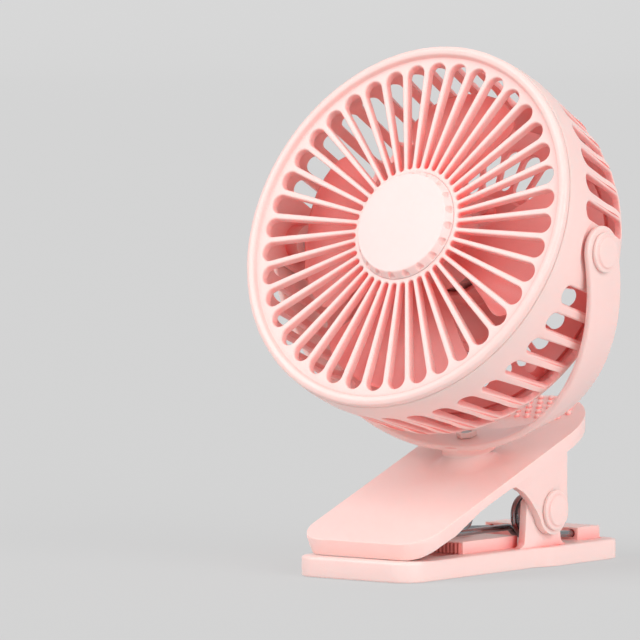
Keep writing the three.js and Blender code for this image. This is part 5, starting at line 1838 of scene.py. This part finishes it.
@dataclass
class ClipSpring(Assembly):
    """The double torsion spring on the pin, one wire from end to end."""

    wire: float = 1.3
    coil: float = 7.2
    turns: float = 2.125
    pitch: float = 3.15
    outer_x: float = 20.2
    rear_x: float = 19.0
    drop: float = 2.9
    leg_z: float = 15.0
    leg_end_y: float = -37.0
    rear_end_y: float = 54.0
    rear_end_z: float = 10.4
    sides: int = 16

    def half(self) -> list[Vector]:
        """Middle line of the right half, from its rear end to the bar's middle.

        Returns:
            The line's points.
        """
        path = [
            Vector((self.rear_x, self.rear_end_y, self.rear_end_z)),
            Vector((self.rear_x, 50.0 - self.wire, self.rear_end_z)),
        ]
        centre_z = PIN_Z - self.drop
        first = Vector((self.outer_x, PIN_Y, centre_z - self.coil))
        rear = path[1]
        path += [rear.lerp(first, i / 12.0) for i in range(13)]
        steps = 84
        for i in range(1, steps + 1):
            wound = self.turns * i / steps
            angle = math.radians(-90 - 360 * wound)
            y = PIN_Y + self.coil * math.cos(angle)
            z = centre_z + self.coil * math.sin(angle)
            path.append(Vector((self.outer_x - wound * self.pitch, y, z)))
        last = path[-1]
        leg_x = self.outer_x - self.turns * self.pitch
        climb = abs(self.leg_z - last.z)
        bend = Vector((leg_x, last.y - climb, self.leg_z))
        end = Vector((leg_x, self.leg_end_y, self.leg_z))
        path += self.rounded(last, bend, end, 2.0)
        path += self.rounded(bend, end, Vector((0.0, self.leg_end_y, self.leg_z)), 2.6)
        return path

    def rounded(
        self, before: Vector, corner: Vector, after: Vector, reach: float,
    ) -> list[Vector]:
        """Points of a soft bend in the wire at a corner.

        Args:
            before: The point before the corner.
            corner: The corner.
            after: The point after it.
            reach: How far from the corner the bend starts.

        Returns:
            The bend's points.
        """
        back, ahead = before - corner, after - corner
        start = corner + back.normalized() * min(reach, back.length * 0.5)
        end = corner + ahead.normalized() * reach
        shares = [i / 8 for i in range(9)]
        return [start.lerp(corner, t).lerp(corner.lerp(end, t), t) for t in shares]

    def build(self) -> None:
        """Makes the spring."""
        right = self.half()
        path = right + [Vector((-p.x, p.y, p.z)) for p in reversed(right)]
        clean = [path[0]]
        for point in path[1:]:
            if (point - clean[-1]).length > 0.05:
                clean.append(point)
        rings = []
        normal = Vector((1.0, 0.0, 0.0))
        for i, point in enumerate(clean):
            before, after = clean[max(0, i - 1)], clean[min(len(clean) - 1, i + 1)]
            along = (after - before).normalized()
            normal = (normal - along * normal.dot(along)).normalized()
            other = along.cross(normal)
            ring = []
            for s in range(self.sides):
                angle = 2 * math.pi * s / self.sides
                arm = normal * math.cos(angle) + other * math.sin(angle)
                ring.append(point + self.wire * arm)
            rings.append(ring)
        self.piece("clip_spring", lofted(rings), SPRING_WIRE, "torsion_spring", 50.0)


@dataclass
class PinCaps(Assembly):
    """The caps on both ends of the clip's pin."""

    radius: float = 7.7
    height: float = 2.4
    seat_x: float = 30.3

    def build(self) -> None:
        """Makes the caps."""
        seats = (self.seat_x, PIN_Y, PIN_Z)
        self.caps("pin_button", "pin_cap", seats, (self.radius, self.height))


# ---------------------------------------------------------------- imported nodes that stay

KEPT_FINISHES: dict[str, Finish] = {
    "motor": STEEL, "motor_shaft": STEEL, "circuit_board": BOARD, "battery_cell": CELL,
    "charge_socket": STEEL, "indicator_lens": LENS, "neck_screw": STEEL, "neck_nut": SHELL_PINK,
    "neck_washer": SHELL_PINK,
}


def dress_kept_nodes() -> None:
    """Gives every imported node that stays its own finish."""
    for name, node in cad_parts.items():
        if name in KEPT_FINISHES:
            finish: Finish = KEPT_FINISHES[name]
        elif "washer" in name:
            finish = FOOT_RUBBER
        elif "screw" in name or "pin_" in name:
            finish = STEEL
        else:
            finish = SHELL_PINK
        node.data.materials.clear()
        node.data.materials.append(material(finish))


# ---------------------------------------------------------------- studio


@dataclass
class Studio:
    """The camera at the photograph's angle, a pale floor and soft light."""

    camera_at: tuple[float, float, float] = (1.342196, -1.862455, 0.220697)
    azimuth: float = 37.0856
    elevation: float = 3.136
    lens: float = 337.5
    wall_y: float = 16.0
    wall_round: float = 3.0

    def camera(self) -> None:
        """Sets up the camera."""
        data = bpy.data.cameras.new("camera")
        data.lens = self.lens
        data.sensor_width = 36.0
        data.clip_end = 50.0
        thing = bpy.data.objects.new("camera", data)
        thing.location = self.camera_at
        thing.rotation_euler = (
            math.radians(90 - self.elevation), 0.0, math.radians(self.azimuth),
        )
        bpy.context.scene.collection.objects.link(thing)
        bpy.context.scene.camera = thing

    def floor(self) -> None:
        """Lays a pale floor that turns up into a backdrop."""
        bend = self.wall_y - self.wall_round
        profile = [(-8.0, 0.0), (bend, 0.0)]
        profile += arc(bend, self.wall_round, self.wall_round, -90, 0, 24)
        profile.append((self.wall_y, 9.0))
        rows = [[Vector((x, y, z)) for y, z in profile] for x in (-12.0, 0.0, 12.0)]
        shape = moved(lofted(rows, capped=False, closed=False), turn(self.azimuth, "Z"))
        mesh = bpy.data.meshes.new("studio_floor")
        shape.to_mesh(mesh)
        shape.free()
        mesh.shade_smooth()
        mesh.materials.append(material(FLOOR_PAPER))
        thing = bpy.data.objects.new("studio_floor", mesh)
        bpy.context.scene.collection.objects.link(thing)

    def sun(self, name: str, at: Sequence[float], spread: float, power: float) -> None:
        """Hangs a far, broad light that lights floor and fan evenly.

        Args:
            name: The light's name.
            at: A place in the direction that it shines from.
            spread: Width of the light as the fan sees it, in degrees.
            power: Its strength.
        """
        data = bpy.data.lights.new(name, "SUN")
        data.angle = math.radians(spread)
        data.energy = power
        thing = bpy.data.objects.new(name, data)
        thing.location = at
        thing.rotation_euler = (-Vector(at)).to_track_quat("-Z", "Y").to_euler()
        bpy.context.scene.collection.objects.link(thing)

    def world(self) -> None:
        """Sets an even pale surround."""
        world = bpy.data.worlds.new("studio")
        world.use_nodes = True
        world.node_tree.nodes.clear()
        settings = {"Color": (1.0, 1.0, 1.0, 1.0), "Strength": 0.5}
        sky = add_node(world.node_tree, "Background", settings)
        add_node(world.node_tree, "OutputWorld", None, {"Surface": sky.outputs["Background"]})
        bpy.context.scene.world = world

    def build(self) -> None:
        """Sets up the whole studio."""
        bpy.context.scene.view_settings.view_transform = "Standard"
        self.camera()
        self.floor()
        self.world()
        self.sun("key", (-0.75, -1.2, 1.35), 42.0, 1.55)
        self.sun("fill", (1.5, -0.3, 0.55), 50.0, 1.7)


def main() -> None:
    """Builds the studio and every sub-assembly."""
    Studio().build()
    dress_kept_nodes()
    assemblies: list[Assembly] = [
        FrontGuard(HEAD_FRAME, "fan_head"), RearHousing(HEAD_FRAME, "fan_head"),
        RearGrille(HEAD_FRAME, "fan_head"), Impeller(HEAD_FRAME, "rotor"),
        BatteryPod(HEAD_FRAME, "fan_head"), PowerButton(HEAD_FRAME, "button"),
        Yoke(YOKE_FRAME, "neck"), UpperJaw(CLIP_FRAME, "clip_jaw"),
        UpperGrip(CLIP_FRAME, "clip_jaw"), LowerJaw(CLIP_FRAME, "clip_base"),
        GripPads(CLIP_FRAME, "clip_base"), ClipSpring(CLIP_FRAME, "clip_base"),
        PinCaps(CLIP_FRAME, "clip_base"),
    ]
    for assembly in assemblies:
        assembly.build()


if __name__ == "__main__":
    logging.basicConfig(level=logging.INFO)
    main()
